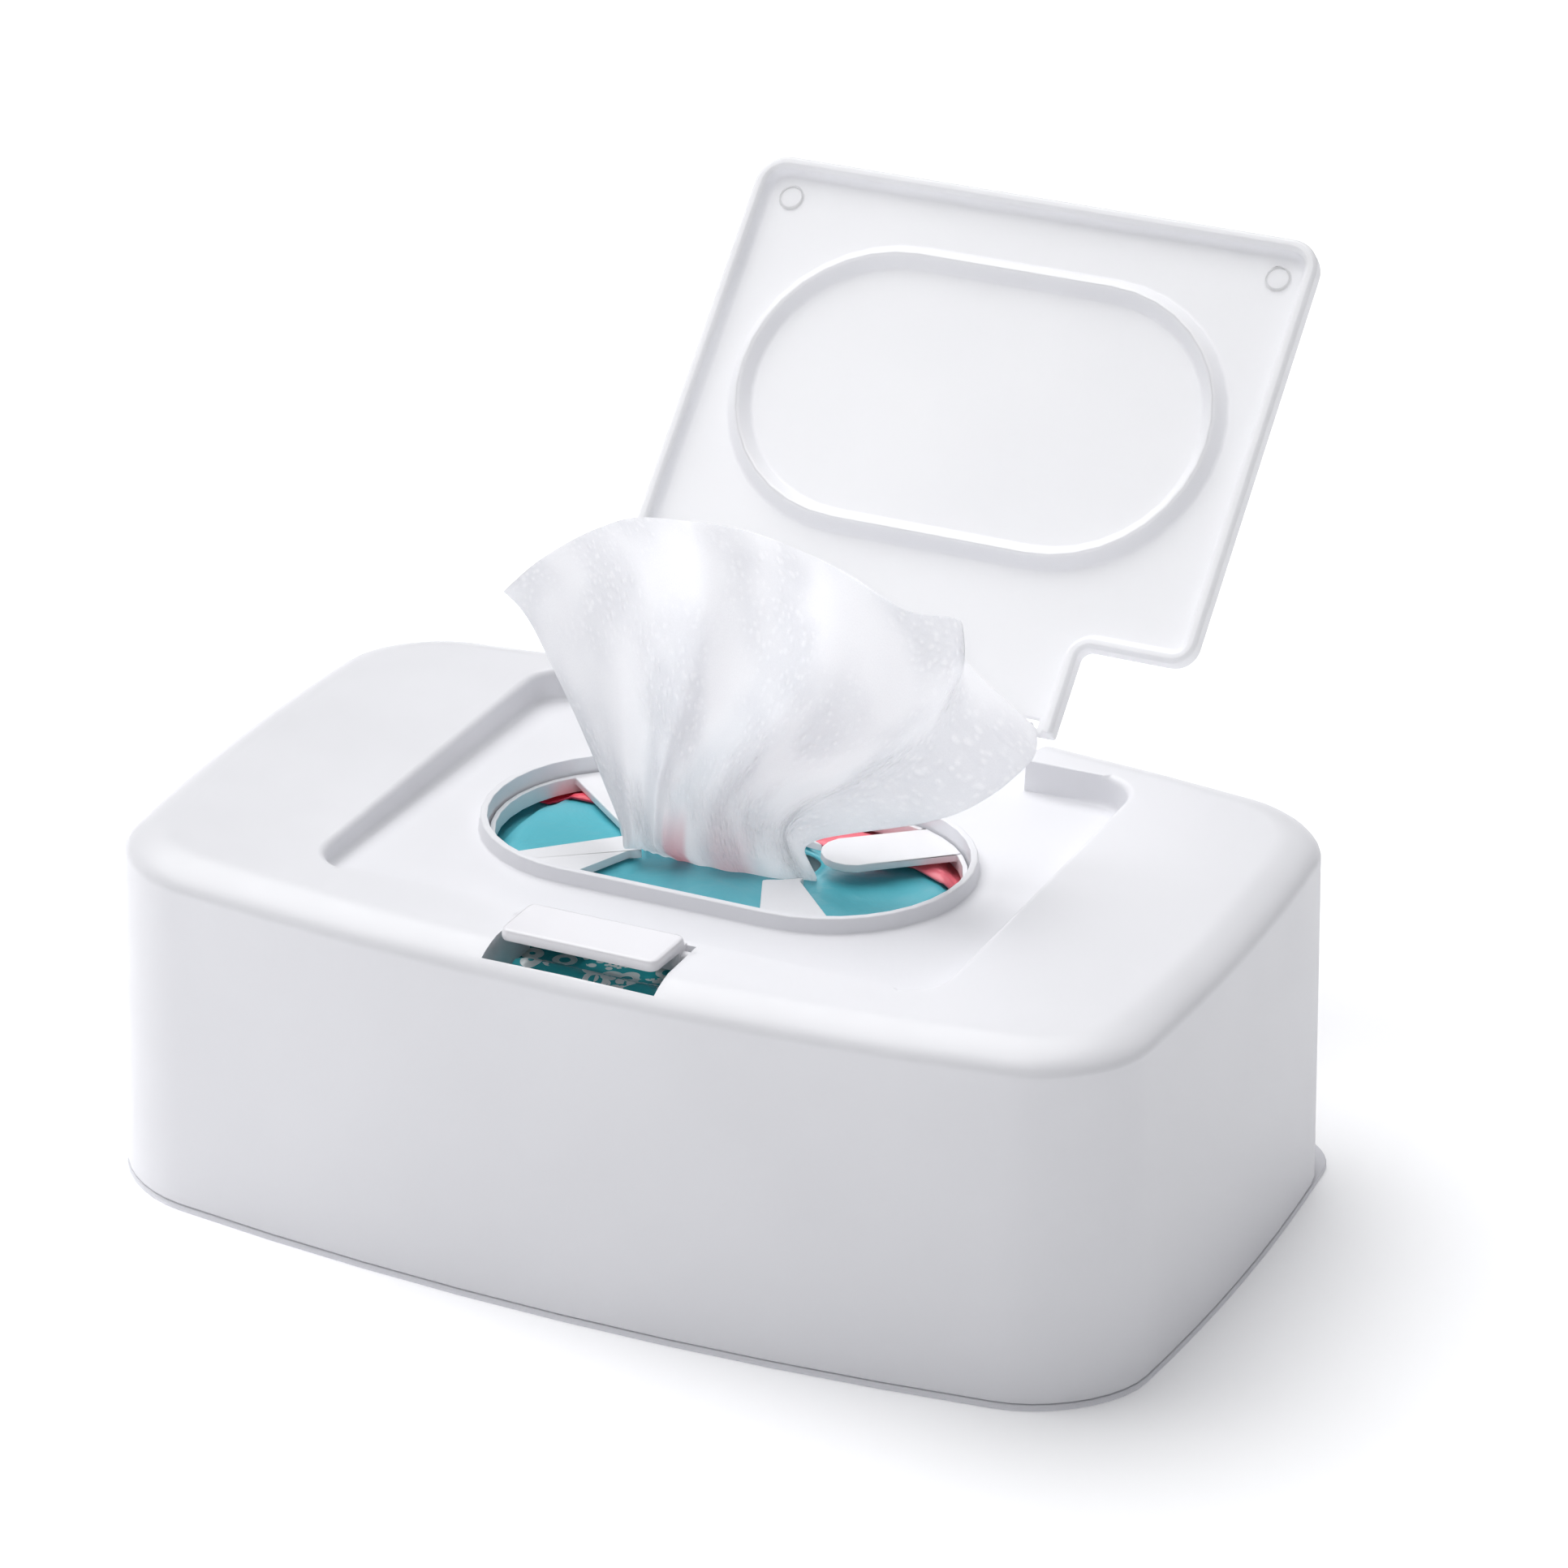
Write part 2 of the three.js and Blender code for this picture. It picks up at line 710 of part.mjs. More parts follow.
// Push button: a hollow cap on two trunnions, with the arm that lifts the lid's front edge and
// two thin tongues that spring against the wall behind them
function pushButton() {
  const centreY = (buttonFront + buttonRear) / 2;
  const halfDepth = (buttonRear - buttonFront) / 2;
  const bottom = buttonTop - buttonSkirt;
  const at = (inset) => roundedOutline({
    halfX: buttonHalfWidth - inset,
    halfY: halfDepth - inset,
    radius: buttonCornerRadius - inset / 2,
    rearRadius: buttonSkin - inset / 2,
  });
  const edge = buttonSkin / 3;
  const cap = solid(loft([
    ringAt(at(0), bottom, 0, centreY),
    ringAt(at(0), buttonTop - edge, 0, centreY),
    ringAt(at(edge), buttonTop, 0, centreY),
  ])).subtract(prism(at(buttonSkin), bottom - overrun, buttonTop - buttonSkin, 0, centreY));
  const bosses = mirroredX((side) => box(
    ...spanX(side, buttonHalfWidth - buttonSkin, buttonHalfWidth),
    trunnionY - 1.5 * trunnionRadius,
    trunnionY + 1.5 * trunnionRadius,
    trunnionZ - 1.5 * trunnionRadius,
    buttonTop - buttonSkin,
  ));
  const trunnions = mirroredX((side) => barX(
    trunnionRadius,
    ...spanX(side, buttonHalfWidth - buttonSkin / 2, buttonHalfWidth + trunnionLength),
    trunnionY,
    trunnionZ,
  ));
  const arm = box(
    -armHalfWidth,
    armHalfWidth,
    buttonRear - buttonSkin,
    buttonRear + armReach,
    armBottom,
    armTop,
  );
  const web = box(
    -armHalfWidth,
    armHalfWidth,
    buttonRear - buttonSkin,
    buttonRear,
    armBottom,
    buttonTop - buttonSkin / 2,
  );
  const tongues = mirroredX((side) => {
    const hung = box(
      ...spanX(side, tongueX - tongueHalfWidth, tongueX + tongueHalfWidth),
      buttonRear - tongueThickness,
      buttonRear,
      buttonTop - tongueLength,
      buttonTop - buttonSkin / 2,
    );
    const nose = box(
      ...spanX(side, tongueX - tongueHalfWidth, tongueX + tongueHalfWidth),
      buttonRear - tongueThickness,
      notchRear - tongueGap,
      buttonTop - tongueLength,
      buttonTop - tongueLength + tongueThickness,
    );
    return hung.add(nose);
  });
  return union([cap, bosses, trunnions, arm, web, tongues]);
}

// Wipe guide: a staked flange and a spoked plate whose free finger lets the next wipe be laid in
const leftWindowShares = [
  [-0.78, -0.78], [-0.43, -0.14], [-0.5, 0.06], [-0.93, 0.72], [-1.2, 0.4], [-1.2, -0.5],
];
const frontWindowShares = [
  [-0.5, -1.2], [-0.46, -0.9], [-0.33, -0.42], [-0.06, -0.3], [0.1, -0.3],
  [0.25, -0.42], [0.38, -0.9], [0.4, -1.2],
];
const rightWindowShares = [
  [0.665, -1.2], [0.665, -0.78], [0.39, -0.26], [0.39, 0.3], [0.24, 0.44], [0.27, 0.74],
  [0.44, 0.95], [0.5, 1.2], [1.3, 1.2], [1.3, -0.4],
];
const wipeSlotShares = [
  [-0.4, -0.2], [-0.3, -0.3], [0.31, -0.3], [0.45, -0.12], [0.4, 0.34], [0.2, 0.4], [-0.3, 0.4],
  [-0.4, 0.2],
];
const fingerShares = [[0.505, 0.2], [0.76, 0.83]];

function guideFinger(halfX, halfY, top) {
  const [[tipX, tipY], [rootX, rootY]] = fingerShares;
  const tip = new THREE.Vector2(tipX * halfX, tipY * halfY);
  const root = new THREE.Vector2(rootX * halfX, rootY * halfY);
  const along = root.clone().sub(tip);
  const heading = Math.atan2(along.y, along.x);
  const rings = [];
  const reach = along.length();
  const outline = [];
  const fingerHalfWidth = fingerWidthShare * mouthHalfWidth;
  for (let i = 0; i <= roundSteps / 2; i += 1) {
    const angle = Math.PI / 2 + (i / (roundSteps / 2)) * Math.PI;
    outline.push([fingerHalfWidth * Math.cos(angle), fingerHalfWidth * Math.sin(angle), 1]);
  }
  outline.push([reach, -fingerHalfWidth, 0], [reach, fingerHalfWidth, 0]);
  for (const height of [top - fingerThickness, top]) {
    rings.push(outline.map(([u, v, raised]) => new THREE.Vector3(
      tip.x + u * Math.cos(heading) - v * Math.sin(heading),
      tip.y + u * Math.sin(heading) + v * Math.cos(heading) + mouthCentreY,
      height + raised * fingerRaise,
    )));
  }
  return solid(loft(rings));
}

function wipeGuide() {
  const halfX = mouthHalfLength - guideClearance;
  const halfY = mouthHalfWidth - guideClearance;
  const top = deckHeight - guideDrop;
  const flangeTop = deckUnderside - baseGap;
  const flangeBottom = flangeTop - guideFlangeThickness;
  const innerX = halfX - guideRimWall;
  const innerY = halfY - guideRimWall;
  const plug = prism(oval(halfX, halfY), flangeBottom, top, 0, mouthCentreY)
    .subtract(prism(oval(innerX, innerY), flangeBottom - overrun, aboveAll, 0, mouthCentreY));
  const flange = prism(
    oval(mouthHalfLength + guideFlange, mouthHalfWidth + guideFlange),
    flangeBottom,
    flangeTop,
    0,
    mouthCentreY,
  ).subtract(prism(oval(innerX, innerY), flangeBottom - overrun, aboveAll, 0, mouthCentreY));
  const inner = prism(oval(innerX, innerY), flangeBottom - overrun, aboveAll, 0, mouthCentreY);
  const windows = union(
    [leftWindowShares, frontWindowShares, rightWindowShares, wipeSlotShares]
      .map((shares) => extruded(
        shareOutline(shares, halfX, halfY),
        flangeBottom - overrun,
        aboveAll,
      ).translate([0, mouthCentreY, 0])),
  ).intersect(inner);
  const plate = prism(oval(halfX, halfY), top - guideThickness, top, 0, mouthCentreY)
    .subtract(windows);
  const finger = guideFinger(halfX, halfY, top)
    .intersect(prism(oval(halfX, halfY), flangeBottom, aboveAll, 0, mouthCentreY));
  const stakeHoles = union(stakePlaces().map(([x, y]) => postZ(
    stakeRadius + stakeClearance,
    x,
    y,
    flangeBottom - overrun,
    flangeTop + overrun,
  )));
  return plug.add(flange).add(plate).add(finger).subtract(stakeHoles);
}

// Pillow of the pack: rounded edges all round, so that rings draw in towards top and bottom
function packPillow(inset) {
  const edge = packEdgeRadius - inset;
  const rings = [];
  const steps = filletSteps;
  const at = (draw, z) => ringAt(roundedOutline({
    halfX: packHalfLength - inset - draw,
    halfY: packHalfDepth - inset - draw,
    radius: Math.max(packCornerRadius - inset - draw, packFilm),
    corner: packCornerSteps,
  }), z);
  for (let i = 0; i <= steps; i += 1) {
    const angle = (i / steps) * (Math.PI / 2);
    rings.push(at(edge * (1 - Math.sin(angle)), packBottom + inset + edge * (1 - Math.cos(angle))));
  }
  for (let i = 0; i <= steps; i += 1) {
    const angle = (i / steps) * (Math.PI / 2);
    rings.push(at(edge * (1 - Math.cos(angle)), packTop - inset - edge * (1 - Math.sin(angle))));
  }
  return solid(loft(rings));
}

function packMouth() {
  return prism(
    oval(packMouthHalfLength, packMouthHalfWidth),
    packTop - packEdgeRadius,
    aboveAll,
    0,
    packMouthY,
  );
}

function refillPack() {
  const middle = (packBottom + packTop) / 2;
  const seals = mirroredX((side) => box(
    ...spanX(side, packHalfLength - packFilm, packHalfLength + sealLength),
    -sealHalfDepth,
    sealHalfDepth,
    middle - sealThickness / 2,
    middle + sealThickness / 2,
  ));
  return packPillow(0)
    .add(seals)
    .subtract(packPillow(packFilm))
    .subtract(packMouth());
}

// Stack of interleaved wipes: the folds show as grooves along both long sides
function wipeStack() {
  const block = packPillow(packFilm + stackClearance);
  const low = packBottom + packEdgeRadius;
  const high = packTop - packEdgeRadius;
  const grooves = [];
  const count = Math.floor((high - low) / foldPitch);
  for (let i = 0; i <= count; i += 1) {
    const z = low + i * foldPitch;
    for (const side of [1, -1]) {
      const face = side * (packHalfDepth - packFilm - stackClearance);
      grooves.push(box(
        -packHalfLength,
        packHalfLength,
        face - foldGroove,
        face + foldGroove,
        z - foldGroove / 2,
        z + foldGroove / 2,
      ));
    }
  }
  return block.subtract(union(grooves));
}

// Opening label, peeled back behind the pack's mouth, with the tab that it is pulled by
function openingLabel() {
  const low = packTop + labelGap;
  const sheet = (halfX, halfY, turn, x, rear) => prism(
    roundedOutline({ halfX, halfY, radius: labelCornerRadius }),
    low,
    low + labelThickness,
  ).rotate([0, 0, turn]).translate([x, mouthCentreY + rear, 0]);
  return sheet(labelHalfLength, labelHalfWidth, labelTurn, labelX, labelRear).add(
    sheet(labelTabHalfLength, labelTabHalfWidth, labelTabTurn, labelTabX, labelTabRear),
  );
}

// Top edge of the wipe as shares of its spread to each side and of its height over the waist
const wipeTopShares = [
  [-1, 0.66], [-0.8, 0.83], [-0.55, 0.93], [-0.08, 1], [0.2, 0.985], [0.42, 0.93],
  [0.6, 0.86], [0.76, 0.84], [0.9, 0.66], [1, 0.51],
];

// How far the right side of the wipe bows out and down, as shares of the waist's half width
const wipeSweepShares = [0.45, 0.3];

// The folds' and the ripples' shares of the fold depth, and the ripples as a share of the folds
const wipeFoldShare = 0.75;
const wipeRippleShare = 0.35;
const wipeRippleCountShare = 1.55;

function wipePlace(across, up) {
  const last = wipeTopShares.length - 1;
  const spot = across * last;
  const index = Math.min(Math.floor(spot), last - 1);
  const rest = spot - index;
  const [x0, h0] = wipeTopShares[index];
  const [x1, h1] = wipeTopShares[index + 1];
  const spreadShare = x0 + (x1 - x0) * rest;
  const heightShare = h0 + (h1 - h0) * rest;
  const spread = spreadShare < 0 ? wipeSpreadLeft : wipeSpreadRight;
  const tip = new THREE.Vector2(
    spreadShare * spread,
    wipeWaistHeight + heightShare * wipeRise,
  );
  const side = 2 * across - 1;
  const waist = new THREE.Vector2(wipeShift + side * wipeWaistHalfWidth, wipeWaistHeight);
  const root = new THREE.Vector2(wipeShift + side * wipeRootHalfWidth, wipeRootHeight);
  const fold = Math.cos(across * wipeFolds * 2 * Math.PI);
  const ripple = Math.sin(across * wipeFolds * wipeRippleCountShare * 2 * Math.PI + 1);
  if (up < 0) {
    const p = waist.clone().lerp(root, -up);
    const y = mouthCentreY + fold * wipeWaistFoldDepth - wipeRootRear * up;
    return new THREE.Vector3(p.x, y, p.y);
  }
  const sweep = Math.max(0, side) ** 2 * Math.sin(up * Math.PI) ** 2 * wipeWaistHalfWidth;
  const p = waist.clone().lerp(tip, up);
  p.x += sweep * wipeSweepShares[0];
  p.y -= sweep * wipeSweepShares[1];
  const depth = wipeWaistFoldDepth + (wipeFoldDepth - wipeWaistFoldDepth) * up;
  const y = mouthCentreY + fold * depth * wipeFoldShare + ripple * depth * wipeRippleShare * up
    + wipeLean * (1 - up) * up - wipeLean * up * up;
  return new THREE.Vector3(p.x, y, p.y);
}

function topWipe() {
  const acrossSteps = 44;
  const upLevels = [-1, -0.5, 0, 0.12, 0.25, 0.4, 0.55, 0.7, 0.85, 1];
  const rows = upLevels.map((up) => {
    const row = [];
    for (let i = 0; i <= acrossSteps; i += 1) row.push(wipePlace(i / acrossSteps, up));
    return row;
  });
  const normalAt = (r, c) => {
    const alongRow = rows[r][Math.min(c + 1, acrossSteps)].clone().sub(rows[r][Math.max(c - 1, 0)]);
    const upRow = rows[Math.min(r + 1, rows.length - 1)][c].clone().sub(rows[Math.max(r - 1, 0)][c]);
    return alongRow.cross(upRow).normalize();
  };
  const rings = rows.map((row, r) => {
    const front = row.map((p, c) => p.clone().addScaledVector(normalAt(r, c), wipeThickness / 2));
    const back = row.map((p, c) => p.clone().addScaledVector(normalAt(r, c), -wipeThickness / 2));
    return [...front, ...back.reverse()];
  });
  return solid(sheetLoft(rings, acrossSteps + 1));
}

// Loft of thin rings, capped by strips between the two faces
function sheetLoft(rings, width) {
  const count = rings[0].length;
  const positions = [];
  const indices = [];
  for (const ring of rings) {
    for (const point of ring) positions.push(point.x, point.y, point.z);
  }
  for (let level = 0; level + 1 < rings.length; level += 1) {
    for (let i = 0; i < count; i += 1) {
      const a = level * count + i;
      const b = level * count + ((i + 1) % count);
      indices.push(a, b, b + count, a, b + count, a + count);
    }
  }
  const top = (rings.length - 1) * count;
  for (let i = 0; i + 1 < width; i += 1) {
    const opposite = count - 1 - i;
    indices.push(i + 1, i, opposite, i + 1, opposite, opposite - 1);
    indices.push(top + i, top + i + 1, top + opposite - 1, top + i, top + opposite - 1, top + opposite);
  }
  const geometry = new THREE.BufferGeometry();
  geometry.setAttribute('position', new THREE.Float32BufferAttribute(positions, 3));
  geometry.setIndex(indices);
  return geometry;
}

const dispenser = new THREE.Group();

function place(name, body, material, parent = dispenser) {
  const mesh = new THREE.Mesh(toGeometry(body), material);
  mesh.name = name;
  parent.add(mesh);
  return mesh;
}

place('base_plate', basePlate(), materials.base);
place('case_shell', caseShell(), materials.case);
place('wipe_guide', wipeGuide(), materials.guide);
place('hinge_pin', hingePin(), materials.steel);
place('push_button', pushButton(), materials.button);
place('refill_pack', refillPack(), materials.film);
place('opening_label', openingLabel(), materials.label);
place('wipe_stack', wipeStack(), materials.wipe);
place('top_wipe', topWipe(), materials.wipe);

// The lid turns back about the hinge pin to where it stands open
const lidSwing = new THREE.Group();
lidSwing.position.set(0, hingeY, hingeZ);
lidSwing.rotation.x = -THREE.MathUtils.degToRad(lidOpenAngle);
const lidPlace = new THREE.Group();
lidPlace.position.set(0, -hingeY, -hingeZ);
lidSwing.add(lidPlace);
dispenser.add(lidSwing);
place('lid', lidBody(), materials.lid, lidPlace);

export default dispenser;
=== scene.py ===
"""Looks of the portable wipes dispenser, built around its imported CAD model, in metres."""

import math

import bmesh
import bpy
from mathutils import Matrix, Vector, noise


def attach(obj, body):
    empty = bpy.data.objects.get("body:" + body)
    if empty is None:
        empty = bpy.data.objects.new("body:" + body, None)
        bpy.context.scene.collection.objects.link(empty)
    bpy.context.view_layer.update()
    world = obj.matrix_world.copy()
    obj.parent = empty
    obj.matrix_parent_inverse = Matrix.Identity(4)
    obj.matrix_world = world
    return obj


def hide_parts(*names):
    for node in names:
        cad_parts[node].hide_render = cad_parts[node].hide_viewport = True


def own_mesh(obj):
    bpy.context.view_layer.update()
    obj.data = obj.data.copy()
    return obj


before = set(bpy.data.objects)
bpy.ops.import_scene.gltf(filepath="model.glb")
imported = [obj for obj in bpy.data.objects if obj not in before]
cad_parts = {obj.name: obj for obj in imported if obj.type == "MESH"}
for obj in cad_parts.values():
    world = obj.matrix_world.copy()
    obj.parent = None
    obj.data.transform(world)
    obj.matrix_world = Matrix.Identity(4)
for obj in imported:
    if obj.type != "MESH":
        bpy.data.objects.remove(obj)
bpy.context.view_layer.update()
scene = bpy.context.scene


# Camera: a long lens that looks down on the front right corner of the dispenser, as a
# product photographer sets it, so that the deck, the open lid and both near walls show.
camera_azimuth = math.radians(24.92)
camera_elevation = math.radians(24.382)
camera_roll = math.radians(0.658)
camera_back = Vector((
    math.sin(camera_azimuth) * math.cos(camera_elevation),
    -math.cos(camera_azimuth) * math.cos(camera_elevation),
    math.sin(camera_elevation),
))
level_right = Vector((math.cos(camera_azimuth), math.sin(camera_azimuth), 0))
level_up = camera_back.cross(level_right)
camera_right = level_right * math.cos(camera_roll) + level_up * math.sin(camera_roll)
camera_up = camera_back.cross(camera_right)

camera_data = bpy.data.cameras.new("studio_camera")
camera_data.sensor_width = 36
camera_data.lens = 148.83
camera_data.shift_x = -0.0328
camera_data.shift_y = -0.01335
camera_data.clip_start = 0.05
camera_data.clip_end = 50
camera = bpy.data.objects.new("studio_camera", camera_data)
camera.matrix_world = Matrix((camera_right, camera_up, camera_back)).transposed().to_4x4()
camera.location = (0.5053, -1.03533, 0.61131)
scene.collection.objects.link(camera)
scene.camera = camera


# Case: one white polypropylene moulding with drafted walls, a soft rounded top, the recess
# for the lid and the oval collar. Its edges keep the small radius of the mould.
case_edge_radius = 0.00035
recess_rim_radius = 0.0015
seat_depth = 0.00022
case_white = "eeeef2"
deck_z, recess_end_x, recess_end_y = 0.0693, (0.058, 0.070), 0.054
notch_x, notch_y, notch_floor_z = 0.0200, (-0.0680, -0.0478), 0.060
bore_x, bore_y, bore_radius, bore_skin_z = (0.0180, 0.0196), -0.0507, 0.0009, 0.07402
shrink_mm, handling_mm = 38, 9


def linear(hex_code):
    """sRGB hex to linear colour with alpha"""
    channels = [int(hex_code[i:i + 2], 16) / 255 for i in (0, 2, 4)]
    return tuple(
        c / 12.92 if c <= 0.04045 else ((c + 0.055) / 1.055) ** 2.4 for c in channels
    ) + (1.0,)


def add_node(tree, kind, values=None, links=None, **settings):
    """A node with its settings, its input values and its incoming links"""
    made = tree.nodes.new(kind)
    for name, value in settings.items():
        setattr(made, name, value)
    for name, value in (values or {}).items():
        made.inputs[name].default_value = value
    for name, source in (links or {}).items():
        tree.links.new(source, made.inputs[name])
    return made


def empty_material(name):
    material = bpy.data.materials.new(name)
    material.use_nodes = True
    material.node_tree.nodes.clear()
    return material


def moulded_polypropylene(
    name, colour, roughness, texture_mm=0.7, texture_depth=0.00002, milky=0.15,
):
    """Injection-moulded polypropylene: a faint eggshell texture from the mould, slow waves where
    the wall shrank as it cooled, and light that goes into the milky plastic"""
    material = empty_material(name)
    tree = material.node_tree
    place = add_node(tree, "ShaderNodeTexCoord").outputs["Object"]
    texture = add_node(
        tree, "ShaderNodeTexNoise",
        {"Scale": 1000 / texture_mm, "Detail": 2.0, "Roughness": 0.5}, {"Vector": place},
    )
    shrink = add_node(
        tree, "ShaderNodeTexNoise", {"Scale": 1000 / shrink_mm, "Detail": 1.0}, {"Vector": place},
    )
    handling = add_node(
        tree, "ShaderNodeTexNoise",
        {"Scale": 1000 / handling_mm, "Detail": 5.0, "Roughness": 0.6}, {"Vector": place},
    )
    waves = add_node(
        tree, "ShaderNodeBump", {"Strength": 0.25, "Distance": 0.0004},
        {"Height": shrink.outputs["Fac"]},
    )
    grain = add_node(
        tree, "ShaderNodeBump", {"Strength": 0.35, "Distance": texture_depth},
        {"Height": texture.outputs["Fac"], "Normal": waves.outputs["Normal"]},
    )
    polish = add_node(
        tree, "ShaderNodeMapRange",
        {"From Min": 0.3, "From Max": 0.7, "To Min": roughness - 0.04, "To Max": roughness + 0.05},
        {"Value": handling.outputs["Fac"]},
    )
    light = linear(colour)
    dark = tuple(c * 0.972 for c in light[:3]) + (1.0,)
    tint = add_node(tree, "ShaderNodeValToRGB", links={"Fac": shrink.outputs["Fac"]})
    tint.color_ramp.elements[0].position, tint.color_ramp.elements[0].color = 0.3, dark
    tint.color_ramp.elements[1].position, tint.color_ramp.elements[1].color = 0.7, light
    shader = add_node(
        tree, "ShaderNodeBsdfPrincipled",
        {
            "IOR": 1.49, "Subsurface Weight": milky, "Subsurface Scale": 0.003,
            "Subsurface Radius": (1.0, 1.0, 1.0),
        },
        {
            "Base Color": tint.outputs["Color"],
            "Roughness": polish.outputs["Result"],
            "Normal": grain.outputs["Normal"],
        },
    )
    add_node(
        tree, "ShaderNodeOutputMaterial", links={"Surface": shader.outputs["BSDF"]},
    )
    return material


def recess_rim(middle):
    """The edges of the lid's recess at its two ends, which are softer than the other edges"""
    at_end = recess_end_x[0] < abs(middle.x) < recess_end_x[1]
    return at_end and abs(middle.y) < recess_end_y and middle.z > deck_z


def notch_edge(middle):
    """The edges of the button's notch and bores, which keep the crisp edge of the core"""
    in_notch = abs(middle.x) < notch_x and notch_y[0] < middle.y < notch_y[1]
    return in_notch and middle.z > notch_floor_z


def round_edges(shape, edge_angle, edge_radius, segments, chosen):
    """Rounds the chosen sharp edges, but none that end where more than three of them meet"""
    sharp = {
        e for e in shape.edges
        if e.is_manifold and e.calc_face_angle(0) > math.radians(edge_angle)
    }
    plain = [
        e for e in shape.edges
        if e in sharp and chosen((e.verts[0].co + e.verts[1].co) / 2)
        and all(sum(other in sharp for other in v.link_edges) <= 3 for v in e.verts)
    ]
    bmesh.ops.bevel(
        shape, geom=plain, offset=edge_radius, offset_type="OFFSET", affect="EDGES",
        segments=segments, profile=0.5, material=-1, clamp_overlap=False,
    )


def moulded_copy(
    node_name, name, edge_radius, edge_angle=32, rim=None, rim_radius=0.0, crisp=None,
    settled=None,
):
    """The node's shape, merged into whole faces, with its sharp edges rounded, its rim more.
    settled moves single corners first, and crisp names the edges that stay as they are"""
    shape = bmesh.new()
    shape.from_mesh(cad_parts[node_name].data)
    if settled:
        for vert in shape.verts:
            settled(vert.co)
    bmesh.ops.remove_doubles(shape, verts=shape.verts, dist=2e-6)
    bmesh.ops.dissolve_limit(
        shape, angle_limit=math.radians(0.4), verts=shape.verts, edges=shape.edges,
    )
    if rim:
        round_edges(shape, edge_angle, rim_radius, 4, rim)
    round_edges(shape, edge_angle, edge_radius, 2, lambda middle: not (crisp and crisp(middle)))
    piece = finished(shape, name, edge_angle)
    flat_faces = piece.modifiers.new("flat_faces_stay_flat", "WEIGHTED_NORMAL")
    flat_faces.keep_sharp = True
    return piece


def finished(shape, name, smooth_angle=32):
    """Object from a bmesh, shaded smooth up to that angle between faces"""
    mesh = bpy.data.meshes.new(name)
    shape.to_mesh(mesh)
    shape.free()
    mesh.shade_smooth()
    mesh.set_sharp_from_angle(angle=math.radians(smooth_angle))
    piece = bpy.data.objects.new(name, mesh)
    scene.collection.objects.link(piece)
    return piece


def dress(piece, material, body, slot, *nodes):
    """Gives a piece its material, the body that it rides on and the nodes that it stands for"""
    piece.data.materials.clear()
    piece.data.materials.append(material)
    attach(piece, body)
    if nodes:
        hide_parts(*nodes)


def close_bore(spot):
    """Draws the skin over the button's bores together where it is as thin as paper"""
    over_bore = bore_x[0] < abs(spot.x) < bore_x[1] and abs(spot.y - bore_y) < bore_radius
    if over_bore and spot.z > bore_skin_z:
        spot.y = bore_y


case_plastic = moulded_polypropylene("white_polypropylene_gloss", case_white, 0.36)
case = moulded_copy(
    "case_shell", "case_moulding", case_edge_radius, rim=recess_rim, rim_radius=recess_rim_radius,
    crisp=notch_edge, settled=close_bore,
)
wall_foot = min(vert.co.z for vert in case.data.vertices)
for vert in case.data.vertices:
    if vert.co.z < wall_foot + seat_depth:
        vert.co.z -= seat_depth
dress(case, case_plastic, "case", "case_plastic", "case_shell")


# Base plate: a thin flat polypropylene moulding that the case is clipped on. Only its edge
# shows under the walls, and it has the duller finish of a bead-blasted mould.
base_edge_radius = 0.0004
base_plastic = moulded_polypropylene(
    "white_polypropylene_satin", "e9e9ee", 0.46, texture_mm=1.1, texture_depth=0.00004,
)
base = moulded_copy("base_plate", "base_moulding", base_edge_radius)
dress(base, base_plastic, "base", "base_plastic", "base_plate")


# Lid: a polypropylene plate with a low rim, the oval rib that closes round the collar, and a
# narrower tab that ends in the hinge knuckles. The inside face is as glossy as the case.
lid_edge_radius = 0.00045
lid_plastic = moulded_polypropylene("white_polypropylene_lid", "f3f3f6", 0.42, milky=0.8)
lid = moulded_copy("lid", "lid_moulding", lid_edge_radius)
dress(lid, lid_plastic, "lid", "lid_plastic", "lid")


# Hinge pin: a drawn stainless steel wire cut to length and pushed through ears and knuckles.
# Drawing leaves fine lines along it.
pin_edge_radius = 0.00015
lines_per_metre = (60.0, 2600.0, 2600.0)
pin_metal = empty_material("stainless_steel_drawn")
tree = pin_metal.node_tree
place = add_node(tree, "ShaderNodeTexCoord").outputs["Object"]
drawn = add_node(tree, "ShaderNodeMapping", {"Scale": lines_per_metre}, {"Vector": place})
lines = add_node(
    tree, "ShaderNodeTexNoise", {"Scale": 1.0, "Detail": 3.0},
    {"Vector": drawn.outputs["Vector"]},
)
line_polish = add_node(
    tree, "ShaderNodeMapRange", {"To Min": 0.2, "To Max": 0.42}, {"Value": lines.outputs["Fac"]},
)
line_bump = add_node(
    tree, "ShaderNodeBump", {"Strength": 0.3, "Distance": 0.00002},
    {"Height": lines.outputs["Fac"]},
)
steel_shader = add_node(
    tree, "ShaderNodeBsdfPrincipled",
    {"Base Color": linear("c4c6c8"), "Metallic": 1.0},
    {"Roughness": line_polish.outputs["Result"], "Normal": line_bump.outputs["Normal"]},
)
add_node(tree, "ShaderNodeOutputMaterial", links={"Surface": steel_shader.outputs["BSDF"]})
pin = moulded_copy("hinge_pin", "hinge_wire", pin_edge_radius)
dress(pin, pin_metal, "case", "steel", "hinge_pin")


# Push button: a small polypropylene cap with soft edges, on two stub pins in the notch. Its
# top is polished by thumbs, so it is a little glossier than the case.
button_edge_radius = 0.0005
cap_floor_z, cap_skirt_z, cap_rear_y = 0.0741, 0.0755, -0.0540
hollow_x, hollow_front_y = 0.0153, -0.0611
button_plastic = moulded_polypropylene("white_polypropylene_button", "f0eff3", 0.35)


